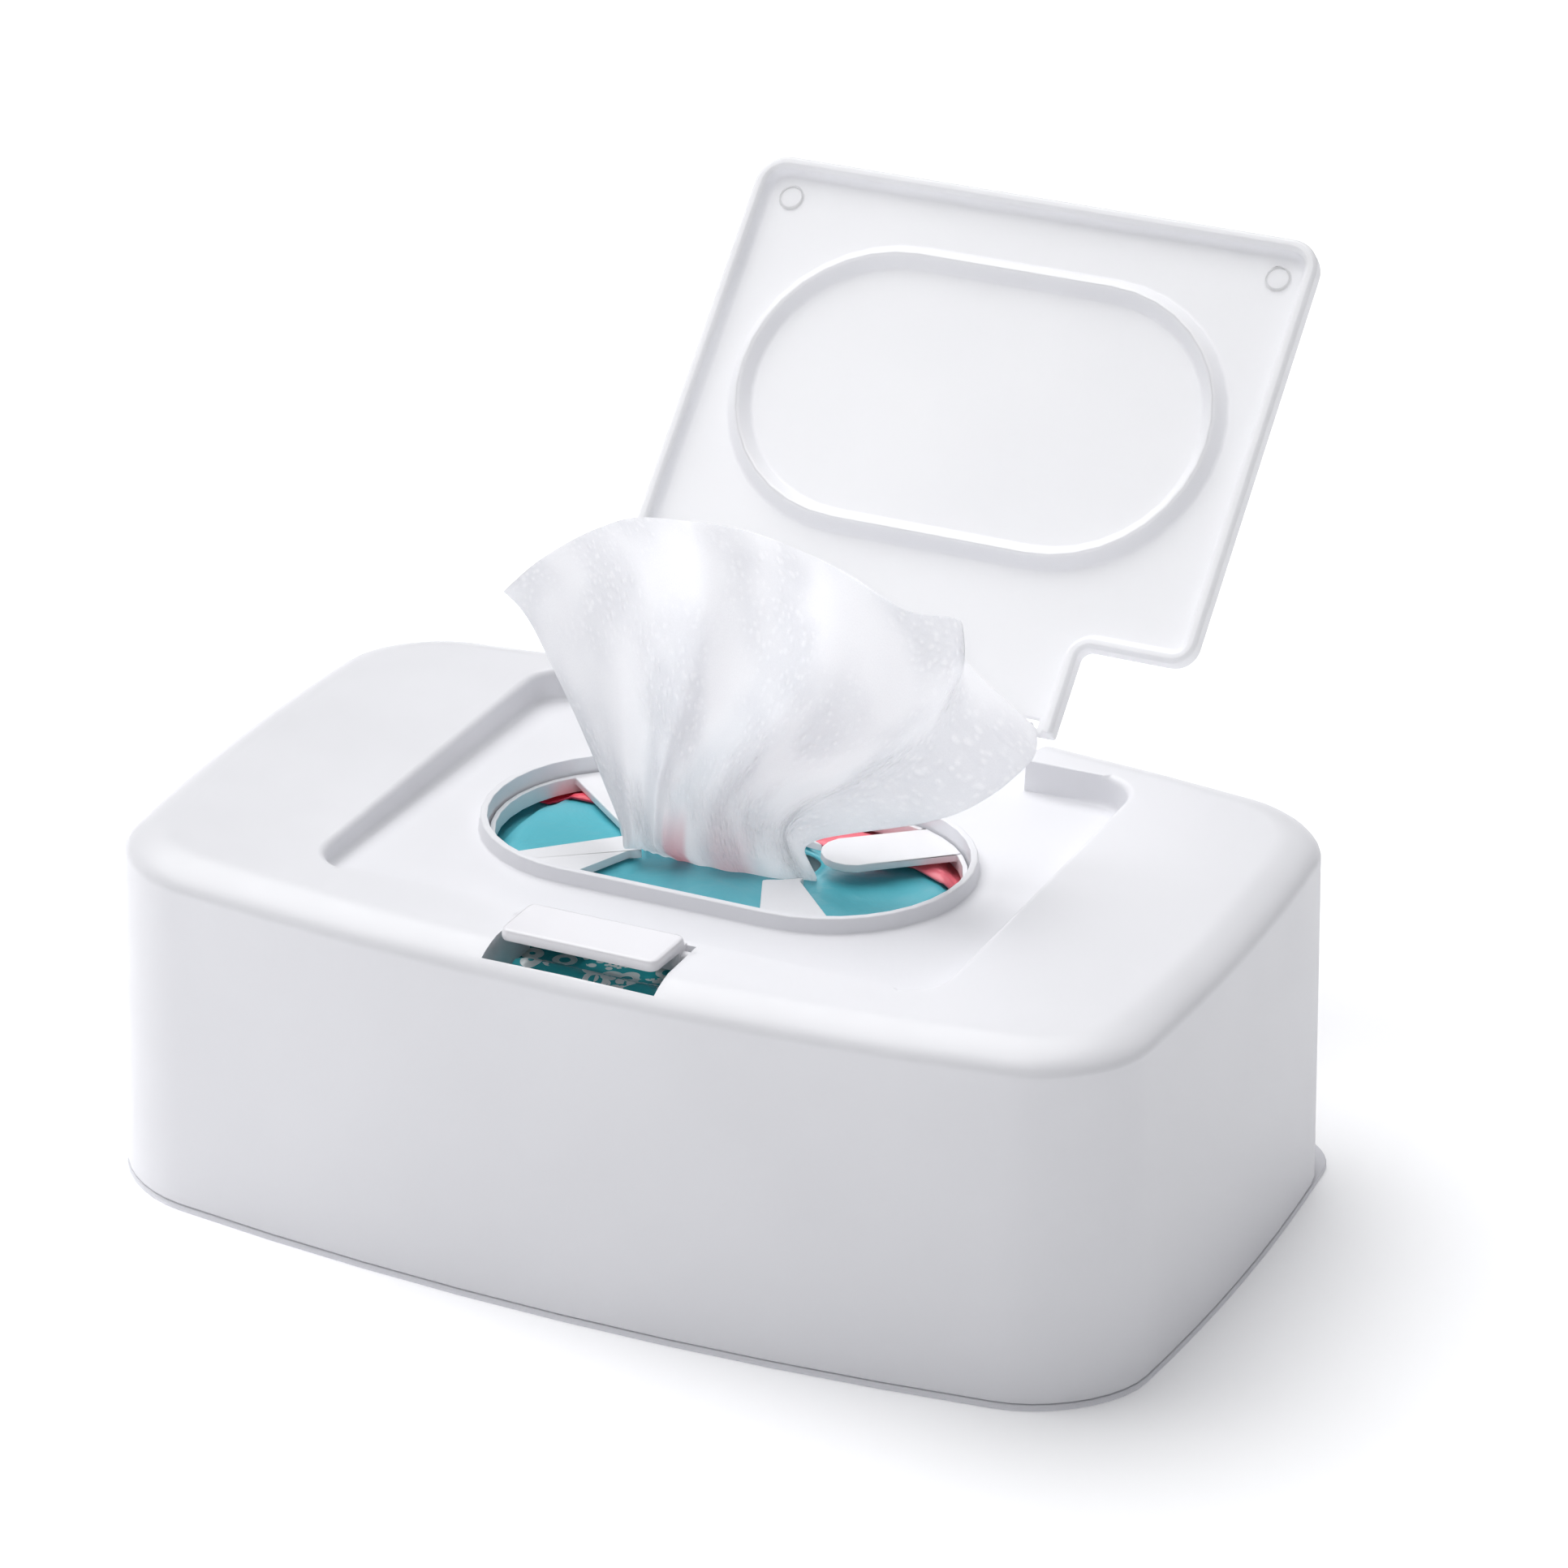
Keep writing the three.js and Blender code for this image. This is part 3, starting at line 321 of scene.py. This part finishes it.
def under_the_cap(middle):
    """The thin pins, arm, web and tongues, and the cap's own underside, which stay crisp"""
    in_hollow = abs(middle.x) < hollow_x and middle.y > hollow_front_y
    on_skirt = middle.z < cap_skirt_z and (in_hollow or middle.y > cap_rear_y)
    return middle.z < cap_floor_z or on_skirt


button = moulded_copy("push_button", "button_moulding", button_edge_radius, crisp=under_the_cap)
dress(button, button_plastic, "button", "button_plastic", "push_button")


# Wipe guide: a thin polypropylene insert with spokes and one free finger, staked under the
# deck. The cut edges round its windows are bright. Corners are in millimetres.
guide_edge_radius = 0.00025
guide_plastic = moulded_polypropylene("white_polypropylene_guide", "f0f0f3", 0.34)


window_corners = [
    ((-16.3, -9.1), (-17.0, -7.2)), ((-3.0, -5.8), (-15.4, -6.3)),
    ((4.9, -5.8), (13.0, -6.9)), ((12.3, -9.1), (12.4, -7.6)),
]


def window_corner(spot):
    """Moves the rear corners of the front window back, so that it opens straight into the slot"""
    for found, moved in window_corners:
        if (spot.xy * 1000 - Vector(found)).length < 0.3:
            spot.x, spot.y = moved[0] / 1000, moved[1] / 1000
            return


guide = moulded_copy(
    "wipe_guide", "guide_moulding", guide_edge_radius, settled=window_corner,
)
dress(guide, guide_plastic, "case", "guide_plastic", "wipe_guide")


# Refill pack: a pouch of printed polyester and polyethylene film, sealed at both ends. The
# film is glossy and lies on the wipes in slack wrinkles. It is plain teal, and its front is
# printed with generic rings and specks.
film_step = 0.0026
wrinkle_depth = 0.0006
swell_height = 0.0029
swell_half_straight, swell_radius = 0.0215, 0.0262
mouth_y = 0.0024
front_bulge, notch_rise = 0.0080, 0.0088
slack_mm, sprig_mm = 14, 11
rings_per_metre, specks_per_metre = (170.0, 170.0, 60.0), (520.0, 520.0, 260.0)


def fine_copy(node_name, step):
    """The node's shape, merged and divided until no edge is much longer than the step"""
    shape = bmesh.new()
    shape.from_mesh(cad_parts[node_name].data)
    bmesh.ops.remove_doubles(shape, verts=shape.verts, dist=2e-6)
    for _ in range(7):
        long_edges = [e for e in shape.edges if e.calc_length() > step * 1.6]
        if not long_edges:
            break
        bmesh.ops.subdivide_edges(shape, edges=long_edges, cuts=1)
        bmesh.ops.triangulate(shape, faces=shape.faces)
    return shape


def pack_wrinkle(spot):
    """How far the film has sunk at a place: long slack folds along X and small creases"""
    slack = noise.noise(Vector((spot.x * 28, spot.y * 75, spot.z * 40)))
    crease = noise.fractal(Vector((spot.x * 90, spot.y * 160, spot.z * 120)), 1.0, 2.1, 3)
    return wrinkle_depth * (0.6 * slack + 0.4 * crease - 0.35)


def pack_swell(spot):
    """How far the full pack swells up into the mouth, inside the guide's rim"""
    off_axis = Vector((max(0.0, abs(spot.x) - swell_half_straight), spot.y - mouth_y))
    inside = min(1.0, max(0.0, (swell_radius - off_axis.length) / 0.0035))
    crown = min(1.0, max(0.0, (swell_radius - off_axis.length) / swell_radius))
    rest = 0.12 * noise.noise(Vector((spot.x * 55, spot.y * 55, 4.0)))
    return swell_height * inside * inside * (3 - 2 * inside) * (0.86 + 0.14 * crown + rest)


def smooth(share):
    """Share from 0 to 1 that starts and ends gently"""
    share = min(1.0, max(0.0, share))
    return share * share * (3 - 2 * share)


def pack_bulge(spot):
    """How far the slack front edge of the pack bulges forward, and up into the button's notch"""
    forward = smooth((-0.040 - spot.y) / 0.014) * smooth((spot.z - 0.030) / 0.020)
    in_notch = smooth((0.0180 - abs(spot.x)) / 0.0035)
    return Vector((
        0.0,
        -front_bulge * forward * smooth((0.085 - abs(spot.x)) / 0.030),
        notch_rise * in_notch * smooth((-0.0450 - spot.y) / 0.008)
        * smooth((spot.z - 0.050) / 0.006),
    ))


pack_shape = fine_copy("refill_pack", film_step)
pack_shape.normal_update()
pack_top = max(v.co.z for v in pack_shape.verts)
pack_moves = [(v, v.normal * pack_wrinkle(v.co)) for v in pack_shape.verts]
for vert, move in pack_moves:
    on_top = vert.co.z > pack_top - 0.001
    vert.co += Vector((move.x, move.y, min(move.z, 0.0)))
    if on_top:
        vert.co.z += pack_swell(vert.co)
    vert.co += pack_bulge(vert.co)
pack = finished(pack_shape, "pack_film", 50)

film = empty_material("laminated_film_teal")
tree = film.node_tree
place = add_node(tree, "ShaderNodeTexCoord").outputs["Object"]
axes = add_node(tree, "ShaderNodeSeparateXYZ", links={"Vector": place})
band = add_node(
    tree, "ShaderNodeMapRange", {"From Min": -0.043, "From Max": -0.030},
    {"Value": axes.outputs["Y"]}, interpolation_type="SMOOTHSTEP",
)
print_tone = add_node(tree, "ShaderNodeValToRGB", links={"Fac": band.outputs["Result"]})
print_tone.color_ramp.elements[0].color = linear("2cb2bc")
print_tone.color_ramp.elements[1].color = linear("55bac9")
ring_place = add_node(
    tree, "ShaderNodeMapping", {"Scale": rings_per_metre}, {"Vector": place},
)
rings = add_node(
    tree, "ShaderNodeTexVoronoi", {"Scale": 1.0, "Randomness": 0.8},
    {"Vector": ring_place.outputs["Vector"]}, feature="F1",
)
ring_line = add_node(
    tree, "ShaderNodeMath", {1: 0.34, 2: 0.10}, {0: rings.outputs["Distance"]},
    operation="COMPARE",
)
speck_place = add_node(
    tree, "ShaderNodeMapping", {"Scale": specks_per_metre}, {"Vector": place},
)
specks = add_node(
    tree, "ShaderNodeTexVoronoi", {"Scale": 1.0, "Randomness": 1.0},
    {"Vector": speck_place.outputs["Vector"]}, feature="F1",
)
speck_line = add_node(
    tree, "ShaderNodeMath", {1: 0.34, 2: 0.16}, {0: specks.outputs["Distance"]},
    operation="COMPARE",
)
sprig = add_node(
    tree, "ShaderNodeTexNoise", {"Scale": 1000 / sprig_mm, "Detail": 0.0}, {"Vector": place},
)
sprig_here = add_node(
    tree, "ShaderNodeMath", {1: 0.46}, {0: sprig.outputs["Fac"]}, operation="GREATER_THAN",
)
speck_print = add_node(
    tree, "ShaderNodeMath", links={0: speck_line.outputs[0], 1: sprig_here.outputs[0]},
    operation="MULTIPLY",
)
all_print = add_node(
    tree, "ShaderNodeMath", links={0: ring_line.outputs[0], 1: speck_print.outputs[0]},
    operation="MAXIMUM",
)
front_only = add_node(
    tree, "ShaderNodeMath", {1: -0.040}, {0: axes.outputs["Y"]}, operation="LESS_THAN",
)
ring_mask = add_node(
    tree, "ShaderNodeMath", links={0: all_print.outputs[0], 1: front_only.outputs[0]},
    operation="MULTIPLY",
)
printed = add_node(
    tree, "ShaderNodeMix", links={"Factor": ring_mask.outputs[0]}, data_type="RGBA",
)
tree.links.new(print_tone.outputs["Color"], printed.inputs[6])
printed.inputs[7].default_value = linear("f4fcfc")
slack = add_node(
    tree, "ShaderNodeTexNoise",
    {"Scale": 1000 / slack_mm, "Detail": 4.0, "Roughness": 0.55, "Distortion": 0.6},
    {"Vector": place},
)
film_bump = add_node(
    tree, "ShaderNodeBump", {"Strength": 0.5, "Distance": 0.0012}, {"Height": slack.outputs["Fac"]},
)
film_shader = add_node(
    tree, "ShaderNodeBsdfPrincipled",
    {"Roughness": 0.3, "IOR": 1.5, "Coat Weight": 0.35, "Coat Roughness": 0.12},
    {"Base Color": printed.outputs[2], "Normal": film_bump.outputs["Normal"]},
)
add_node(tree, "ShaderNodeOutputMaterial", links={"Surface": film_shader.outputs["BSDF"]})
dress(pack, film, "case", "pack_film", "refill_pack")


# Opening label: a red reclosing film label on the pack's top, die-cut with round corners. Its red
# is paler towards the right, and its front edge has crept over the swollen film.
label_creep, label_rest_y, left_corner_x = 0.0048, 0.0300, -0.021
lift_mm = 6
label_film = empty_material("label_film_red")
tree = label_film.node_tree
place = add_node(tree, "ShaderNodeTexCoord").outputs["Object"]
label_axes = add_node(tree, "ShaderNodeSeparateXYZ", links={"Vector": place})
paler_towards_right = add_node(
    tree, "ShaderNodeMapRange", {"From Min": -0.035, "From Max": 0.030},
    {"Value": label_axes.outputs["X"]}, interpolation_type="SMOOTHSTEP",
)
label_tone = add_node(tree, "ShaderNodeValToRGB", links={"Fac": paler_towards_right.outputs["Result"]})
label_tone.color_ramp.elements[0].color = linear("e2334d")
label_tone.color_ramp.elements[1].color = linear("ee7583")
lifted = add_node(
    tree, "ShaderNodeTexNoise", {"Scale": 1000 / lift_mm, "Detail": 2.0}, {"Vector": place},
)
label_bump = add_node(
    tree, "ShaderNodeBump", {"Strength": 0.25, "Distance": 0.0003},
    {"Height": lifted.outputs["Fac"]},
)
label_shader = add_node(
    tree, "ShaderNodeBsdfPrincipled", {"Roughness": 0.34, "IOR": 1.5},
    {"Base Color": label_tone.outputs["Color"], "Normal": label_bump.outputs["Normal"]},
)
add_node(tree, "ShaderNodeOutputMaterial", links={"Surface": label_shader.outputs["BSDF"]})
label_shape = fine_copy("opening_label", film_step)
for vert in label_shape.verts:
    creep = label_creep * (1.0 + 0.75 * smooth((left_corner_x - vert.co.x) / 0.014))
    vert.co.y -= creep * min(1.0, max(0.0, (label_rest_y - vert.co.y) / 0.006))
    vert.co.z += pack_swell(vert.co)
label = finished(label_shape, "label_piece", 50)
dress(label, label_film, "case", "label_film", "opening_label")


# Wipes: spunlace nonwoven of viscose and polyester, damp, embossed with a pearl pattern. The
# fibres scatter light, so a single layer lets what is behind it shine through.
pearl_mm, worn_mm = 1.7, 30
fibre_mm = 0.35
stack_step = 0.006
mouth_left, mouth_right, mouth_low, mouth_high = -0.014, 0.019, 0.065, 0.083
# Share of the way across the mouth, and how much pink is painted on the cloth there, where the red
# label would shine through it
painted_pink_shares = [
    (0.14, 0.0), (0.165, 0.55), (0.245, 0.5), (0.275, 0.04), (0.38, 0.06), (0.47, 0.26),
    (0.60, 0.22), (0.72, 0.0),
]


def spunlace(name, through, on_uv, paint_label_pink=False):
    """Damp nonwoven: matt fibres with a sparse pearl emboss, painted shade in the valleys between
    the pearls, and light passing through. Where the red label lies close behind, two folds are
    painted pink as if it showed through"""
    material = empty_material(name)
    tree = material.node_tree
    coordinates = add_node(tree, "ShaderNodeTexCoord")
    place = coordinates.outputs["UV" if on_uv else "Object"]
    pearls = add_node(
        tree, "ShaderNodeTexVoronoi", {"Scale": 1000 / pearl_mm, "Randomness": 0.75},
        {"Vector": place}, feature="SMOOTH_F1",
    )
    worn = add_node(
        tree, "ShaderNodeTexNoise", {"Scale": 1000 / worn_mm, "Detail": 2.0}, {"Vector": place},
    )
    embossed = add_node(
        tree, "ShaderNodeMapRange",
        {"From Min": 0.41, "From Max": 0.57, "To Min": 0.0, "To Max": 1.0},
        {"Value": worn.outputs["Fac"]},
    )
    fibres = add_node(
        tree, "ShaderNodeTexNoise", {"Scale": 1000 / fibre_mm, "Detail": 3.0, "Roughness": 0.7},
        {"Vector": place},
    )
    pearl_bump = add_node(
        tree, "ShaderNodeBump", {"Distance": 0.0005},
        {"Height": pearls.outputs["Distance"], "Strength": embossed.outputs["Result"]}, invert=True,
    )
    fibre_bump = add_node(
        tree, "ShaderNodeBump", {"Strength": 0.25, "Distance": 0.0001},
        {"Height": fibres.outputs["Fac"], "Normal": pearl_bump.outputs["Normal"]},
    )
    crests = add_node(
        tree, "ShaderNodeMapRange",
        {"From Min": 0.18, "From Max": 0.37, "To Min": 1.0, "To Max": 0.0},
        {"Value": pearls.outputs["Distance"]},
    )
    glisten = add_node(
        tree, "ShaderNodeMath", links={0: crests.outputs["Result"], 1: embossed.outputs["Result"]},
        operation="MULTIPLY",
    )
    damp = add_node(
        tree, "ShaderNodeMapRange", {"To Min": 0.6, "To Max": 0.3}, {"Value": glisten.outputs[0]},
    )
    tone = add_node(tree, "ShaderNodeValToRGB", links={"Fac": fibres.outputs["Fac"]})
    tone.color_ramp.elements[0].position, tone.color_ramp.elements[0].color = 0.25, linear("f4f4f6")
    tone.color_ramp.elements[1].position, tone.color_ramp.elements[1].color = 0.75, linear("fdfdfe")
    # Painted shade: in embossed patches the ground between the pearls is darkened towards dadbe0,
    # so the pearl crests stand out as painted highlights
    painted_valley_shade = add_node(
        tree, "ShaderNodeMath", links={0: embossed.outputs["Result"], 1: glisten.outputs[0]},
        operation="SUBTRACT",
    )
    painted_valley_shade_amount = add_node(
        tree, "ShaderNodeMath", {1: 0.26}, {0: painted_valley_shade.outputs[0]}, operation="MULTIPLY",
    )
    cloth_tone_with_painted_shade = add_node(
        tree, "ShaderNodeMix", links={"Factor": painted_valley_shade_amount.outputs[0]}, data_type="RGBA",
    )
    tree.links.new(tone.outputs["Color"], cloth_tone_with_painted_shade.inputs[6])
    cloth_tone_with_painted_shade.inputs[7].default_value = linear("dadbe0")
    cloth_colour = cloth_tone_with_painted_shade.outputs[2]
    # Painted light: pink mixed into the cloth's colour near the mouth, standing in for the red
    # label showing through the damp cloth
    if paint_label_pink:
        axes = add_node(
            tree, "ShaderNodeSeparateXYZ", links={"Vector": coordinates.outputs["Object"]},
        )
        near_mouth = add_node(
            tree, "ShaderNodeMapRange",
            {"From Min": mouth_low, "From Max": mouth_high, "To Min": 1.0, "To Max": 0.0},
            {"Value": axes.outputs["Z"]}, interpolation_type="SMOOTHSTEP",
        )
        across = add_node(
            tree, "ShaderNodeMapRange", {"From Min": mouth_left, "From Max": mouth_right},
            {"Value": axes.outputs["X"]},
        )
        folds = add_node(tree, "ShaderNodeValToRGB", links={"Fac": across.outputs["Result"]})
        for position, share in painted_pink_shares:
            stop = folds.color_ramp.elements.new(position)
            stop.color = (share, share, share, 1.0)
        folds.color_ramp.elements[-1].color = (0.0, 0.0, 0.0, 1.0)
        painted_pink_amount = add_node(
            tree, "ShaderNodeMath",
            links={0: near_mouth.outputs["Result"], 1: folds.outputs["Color"]},
            operation="MULTIPLY",
        )
        painted_pink_cloth = add_node(
            tree, "ShaderNodeMix", links={"Factor": painted_pink_amount.outputs[0]}, data_type="RGBA",
        )
        tree.links.new(cloth_colour, painted_pink_cloth.inputs[6])
        painted_pink_cloth.inputs[7].default_value = linear("dc6f82")
        cloth_colour = painted_pink_cloth.outputs[2]
    surface = add_node(
        tree, "ShaderNodeBsdfPrincipled",
        {"IOR": 1.45, "Sheen Weight": 0.15, "Sheen Roughness": 0.5},
        {
            "Base Color": cloth_colour,
            "Roughness": damp.outputs["Result"],
            "Normal": fibre_bump.outputs["Normal"],
        },
    )
    glow = add_node(
        tree, "ShaderNodeBsdfTranslucent",
        links={"Color": cloth_colour, "Normal": fibre_bump.outputs["Normal"]},
    )
    mixed = add_node(
        tree, "ShaderNodeMixShader", {"Fac": through},
        {1: surface.outputs["BSDF"], 2: glow.outputs["BSDF"]},
    )
    add_node(tree, "ShaderNodeOutputMaterial", links={"Surface": mixed.outputs["Shader"]})
    return material


stack_cloth = spunlace("spunlace_nonwoven_stack", 0.1, on_uv=False)
stack_shape = fine_copy("wipe_stack", stack_step)
for vert in stack_shape.verts:
    vert.co.z -= 0.0003 + 0.0003 * noise.noise(vert.co * 60)
stack = finished(stack_shape, "folded_wipes", 40)
dress(stack, stack_cloth, "case", "nonwoven", "wipe_stack")


# Top wipe: the next wipe, pulled up through the guide. It is gathered in the slot and fans
# out into three soft lobes, with the cut corner of the sheet at the right.
wipe_thickness = 0.00035
wipe_width, wipe_length = 0.18, 0.085
left_edge = [
    (-14.5, 63.9), (-19.2, 66.5), (-22.2, 65.1), (-22.8, 68.7), (-24.4, 72.8), (-26.8, 77.6),
    (-29.5, 83.0), (-32.8, 89.6), (-36.2, 96.4), (-39.6, 103.0), (-42.8, 108.9), (-45.9, 112.7),
    (-49.3, 115.1),
]
right_edge = [
    (19.2, 63.9), (19.4, 67.0), (18.0, 70.0), (16.8, 73.0), (19.8, 75.6), (27.0, 78.4),
    (35.0, 81.0), (43.0, 83.9), (50.3, 87.7), (56.7, 92.9), (61.6, 98.3), (64.9, 103.2),
    (65.2, 108.4),
]
top_edge = [
    (-49.3, 115.1), (-42.4, 122.3), (-34.9, 128.2), (-27.7, 132.6), (-19.9, 136.0),
    (-8.1, 137.5), (3.8, 137.6), (15.3, 135.9), (25.0, 133.0), (37.5, 127.6), (48.6, 127.4),
    (49.9, 119.7), (65.2, 108.4),
]
bottom_edge = [(-14.5, 63.9), (19.2, 63.9)]


def along(points, share):
    """Point at a share of the way along a smooth line through the points, in millimetres"""
    spot = share * (len(points) - 1)
    i = min(int(spot), len(points) - 2)
    t = spot - i
    p = [Vector(points[max(0, min(len(points) - 1, j))]) for j in (i - 1, i, i + 1, i + 2)]
    return 0.5 * (
        2 * p[1] + (p[2] - p[0]) * t + (2 * p[0] - 5 * p[1] + 4 * p[2] - p[3]) * t * t
        + (3 * p[1] - p[0] - 3 * p[2] + p[3]) * t ** 3
    )


# How far the cloth comes forward across its top edge and up its left side, and how far its
# middle sags over the edge of the slot, in millimetres
lobes = [
    -2, 0, 2, 3.8, 5, 5.8, 6, 5.4, 4, 1.8, 0, 1.6, 3.4, 3.2, 0.2, -2.6, -3, -1.8, -0.2, 1, 1.4,
    1, 0.4, -0.8, -3,
]
belly = [-3, 6.2, 11.4, 11.2, 9.5, 7, 4.8, 3, 1.6, 0.7, 0.2, 0, 0]
sag = [0, 4.4, 3.8, 2.4, 1.2, 0.4, 0, 0, 0, 0, 0, 0, 0]
sight_line = camera_back / -camera_back.y


def level(values, share):
    """Smooth value at a share of the way along a list of values"""
    return along([(value, 0) for value in values], share).x


def wipe_spot(across, up):
    """Place of the wipe at its shares across and up: between its four edges, then folded. The
    lobes lean to the right lower down, and the part in the slot stays upright"""
    corners = (
        (Vector(bottom_edge[0]) * (1 - across) + Vector(bottom_edge[1]) * across) * (1 - up)
        + (Vector(top_edge[0]) * (1 - across) + Vector(top_edge[-1]) * across) * up
    )
    flat = (
        along(bottom_edge, across) * (1 - up) + along(top_edge, across) * up
        + along(left_edge, up) * (1 - across) + along(right_edge, up) * across - corners
    )
    flat.y -= level(sag, up) * math.sin(math.pi * across)
    turn = min(1.0, across + min(0.28, 0.5 * (1 - up) ** 3) * math.sin(math.pi * across))
    free = min(1.0, up / 0.083)
    above = min(1.0, max(0.0, (up - 0.1) / 0.5))
    forward = level(belly, up) * (1 - 0.67 * across)
    forward += level(lobes, turn) * above ** 0.7
    forward += math.sin(2 * math.pi * 6.5 * turn + 0.8) * (0.6 - 0.5 * up ** 0.5)
    forward += above * noise.fractal(Vector((across * 5, up * 3.4, 3.7)), 1.0, 2.0, 3)
    side = above * noise.noise(Vector((across * 3.1, up * 2.7, 9.1)))
    lean = Vector((sight_line.x * free, -1, sight_line.z * free)) * forward
    return Vector((flat.x + side, mouth_y * 1000, flat.y)) / 1000 + lean / 1000


wipe_shape = bmesh.new()
bmesh.ops.create_grid(wipe_shape, x_segments=210, y_segments=110, size=0.5)
cloth_place = wipe_shape.loops.layers.uv.new("cloth")
for face in wipe_shape.faces:
    for loop in face.loops:
        loop[cloth_place].uv = (
            (loop.vert.co.x + 0.5) * wipe_width, (loop.vert.co.y + 0.5) * wipe_length,
        )
for vert in wipe_shape.verts:
    vert.co = wipe_spot(vert.co.x + 0.5, vert.co.y + 0.5)
# Area of the fan as it is drawn, not of a cut sheet. The deep pleats that would take up a
# full rectangle of cloth at the mouth aren't modelled: a real one has over twice this area.
wipe_area = sum(f.calc_area() for f in wipe_shape.faces)
bmesh.ops.recalc_face_normals(wipe_shape, faces=wipe_shape.faces)
bmesh.ops.solidify(wipe_shape, geom=wipe_shape.faces, thickness=wipe_thickness)
wipe = finished(wipe_shape, "top_wipe_cloth", 80)
wipe_cloth = spunlace("spunlace_nonwoven_damp", 0.66, on_uv=True, paint_label_pink=True)
dress(wipe, wipe_cloth, "case", "nonwoven", "top_wipe")
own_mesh(wipe)


# Table top: a seamless sheet of matt white acrylic, far larger than the dispenser. Its surface
# glows with painted light that stands in for a lamp below it, more at the left, as photographers
# light a table from below to keep a white product free of shadows.
table_half, grain_mm = 6.0, 1.5
acrylic = empty_material("studio_acrylic_white")
tree = acrylic.node_tree
place = add_node(tree, "ShaderNodeTexCoord").outputs["Object"]
table_grain = add_node(
    tree, "ShaderNodeTexNoise", {"Scale": 1000 / grain_mm, "Detail": 3.0}, {"Vector": place},
)
table_tone = add_node(tree, "ShaderNodeValToRGB", links={"Fac": table_grain.outputs["Fac"]})
table_tone.color_ramp.elements[0].color = linear("f8f8f9")
table_tone.color_ramp.elements[1].color = linear("fdfdfe")
table_axes = add_node(tree, "ShaderNodeSeparateXYZ", links={"Vector": place})
# Painted light: emission in the table's own surface, stronger at the left than at the right
painted_table_glow = add_node(
    tree, "ShaderNodeMapRange",
    {"From Min": -0.22, "From Max": 0.14, "To Min": 0.6, "To Max": 0.16},
    {"Value": table_axes.outputs["X"]}, interpolation_type="SMOOTHSTEP",
)
table_shader = add_node(
    tree, "ShaderNodeBsdfPrincipled",
    {"Roughness": 0.9, "Specular IOR Level": 0.1, "Emission Color": linear("fafafc")},
    {"Base Color": table_tone.outputs["Color"], "Emission Strength": painted_table_glow.outputs["Result"]},
)
add_node(tree, "ShaderNodeOutputMaterial", links={"Surface": table_shader.outputs["BSDF"]})
table_shape = bmesh.new()
bmesh.ops.create_grid(table_shape, x_segments=2, y_segments=2, size=table_half)
table_top = finished(table_shape, "table_top")
table_top.data.materials.append(acrylic)


# Studio light: one very large soft source above, behind and to the left, a lamp with a snoot
# beside the camera that brightens the wipe and the lid, a second one on the thin wipe alone,
# and a dim even room.
key_direction = Vector((-0.36, 0.18, 0.91))
key_data = bpy.data.lights.new("soft_key", "SUN")
key_data.energy = 2.75
key_data.angle = math.radians(58)
key = bpy.data.objects.new("soft_key", key_data)
key.rotation_euler = key_direction.to_track_quat("Z", "Y").to_euler()
scene.collection.objects.link(key)

fill_target = Vector((0.005, 0.030, 0.146))
fill_data = bpy.data.lights.new("snooted_fill", "SPOT")
fill_data.energy = 20
fill_data.spot_size = math.radians(8.4)
fill_data.spot_blend = 0.6
fill_data.shadow_soft_size = 0.12
fill = bpy.data.objects.new("snooted_fill", fill_data)
fill.location = fill_target + camera_back * 1.5
fill.rotation_euler = camera_back.to_track_quat("Z", "Y").to_euler()
scene.collection.objects.link(fill)

wipe_only = bpy.data.collections.new("wipe_only")
wipe_only.objects.link(wipe)
cloth_fill = bpy.data.objects.new("cloth_fill", fill_data.copy())
cloth_fill.data.energy = 106
cloth_fill.location, cloth_fill.rotation_euler = fill.location, fill.rotation_euler
cloth_fill.light_linking.receiver_collection = wipe_only
scene.collection.objects.link(cloth_fill)

room = bpy.data.worlds.new("pale_room")
room.use_nodes = True
room.node_tree.nodes.clear()
room_light = add_node(
    room.node_tree, "ShaderNodeBackground", {"Color": linear("f4f6fa"), "Strength": 0.21},
)
add_node(
    room.node_tree, "ShaderNodeOutputWorld", links={"Surface": room_light.outputs["Background"]},
)
scene.world = room
scene.view_settings.view_transform = "Standard"
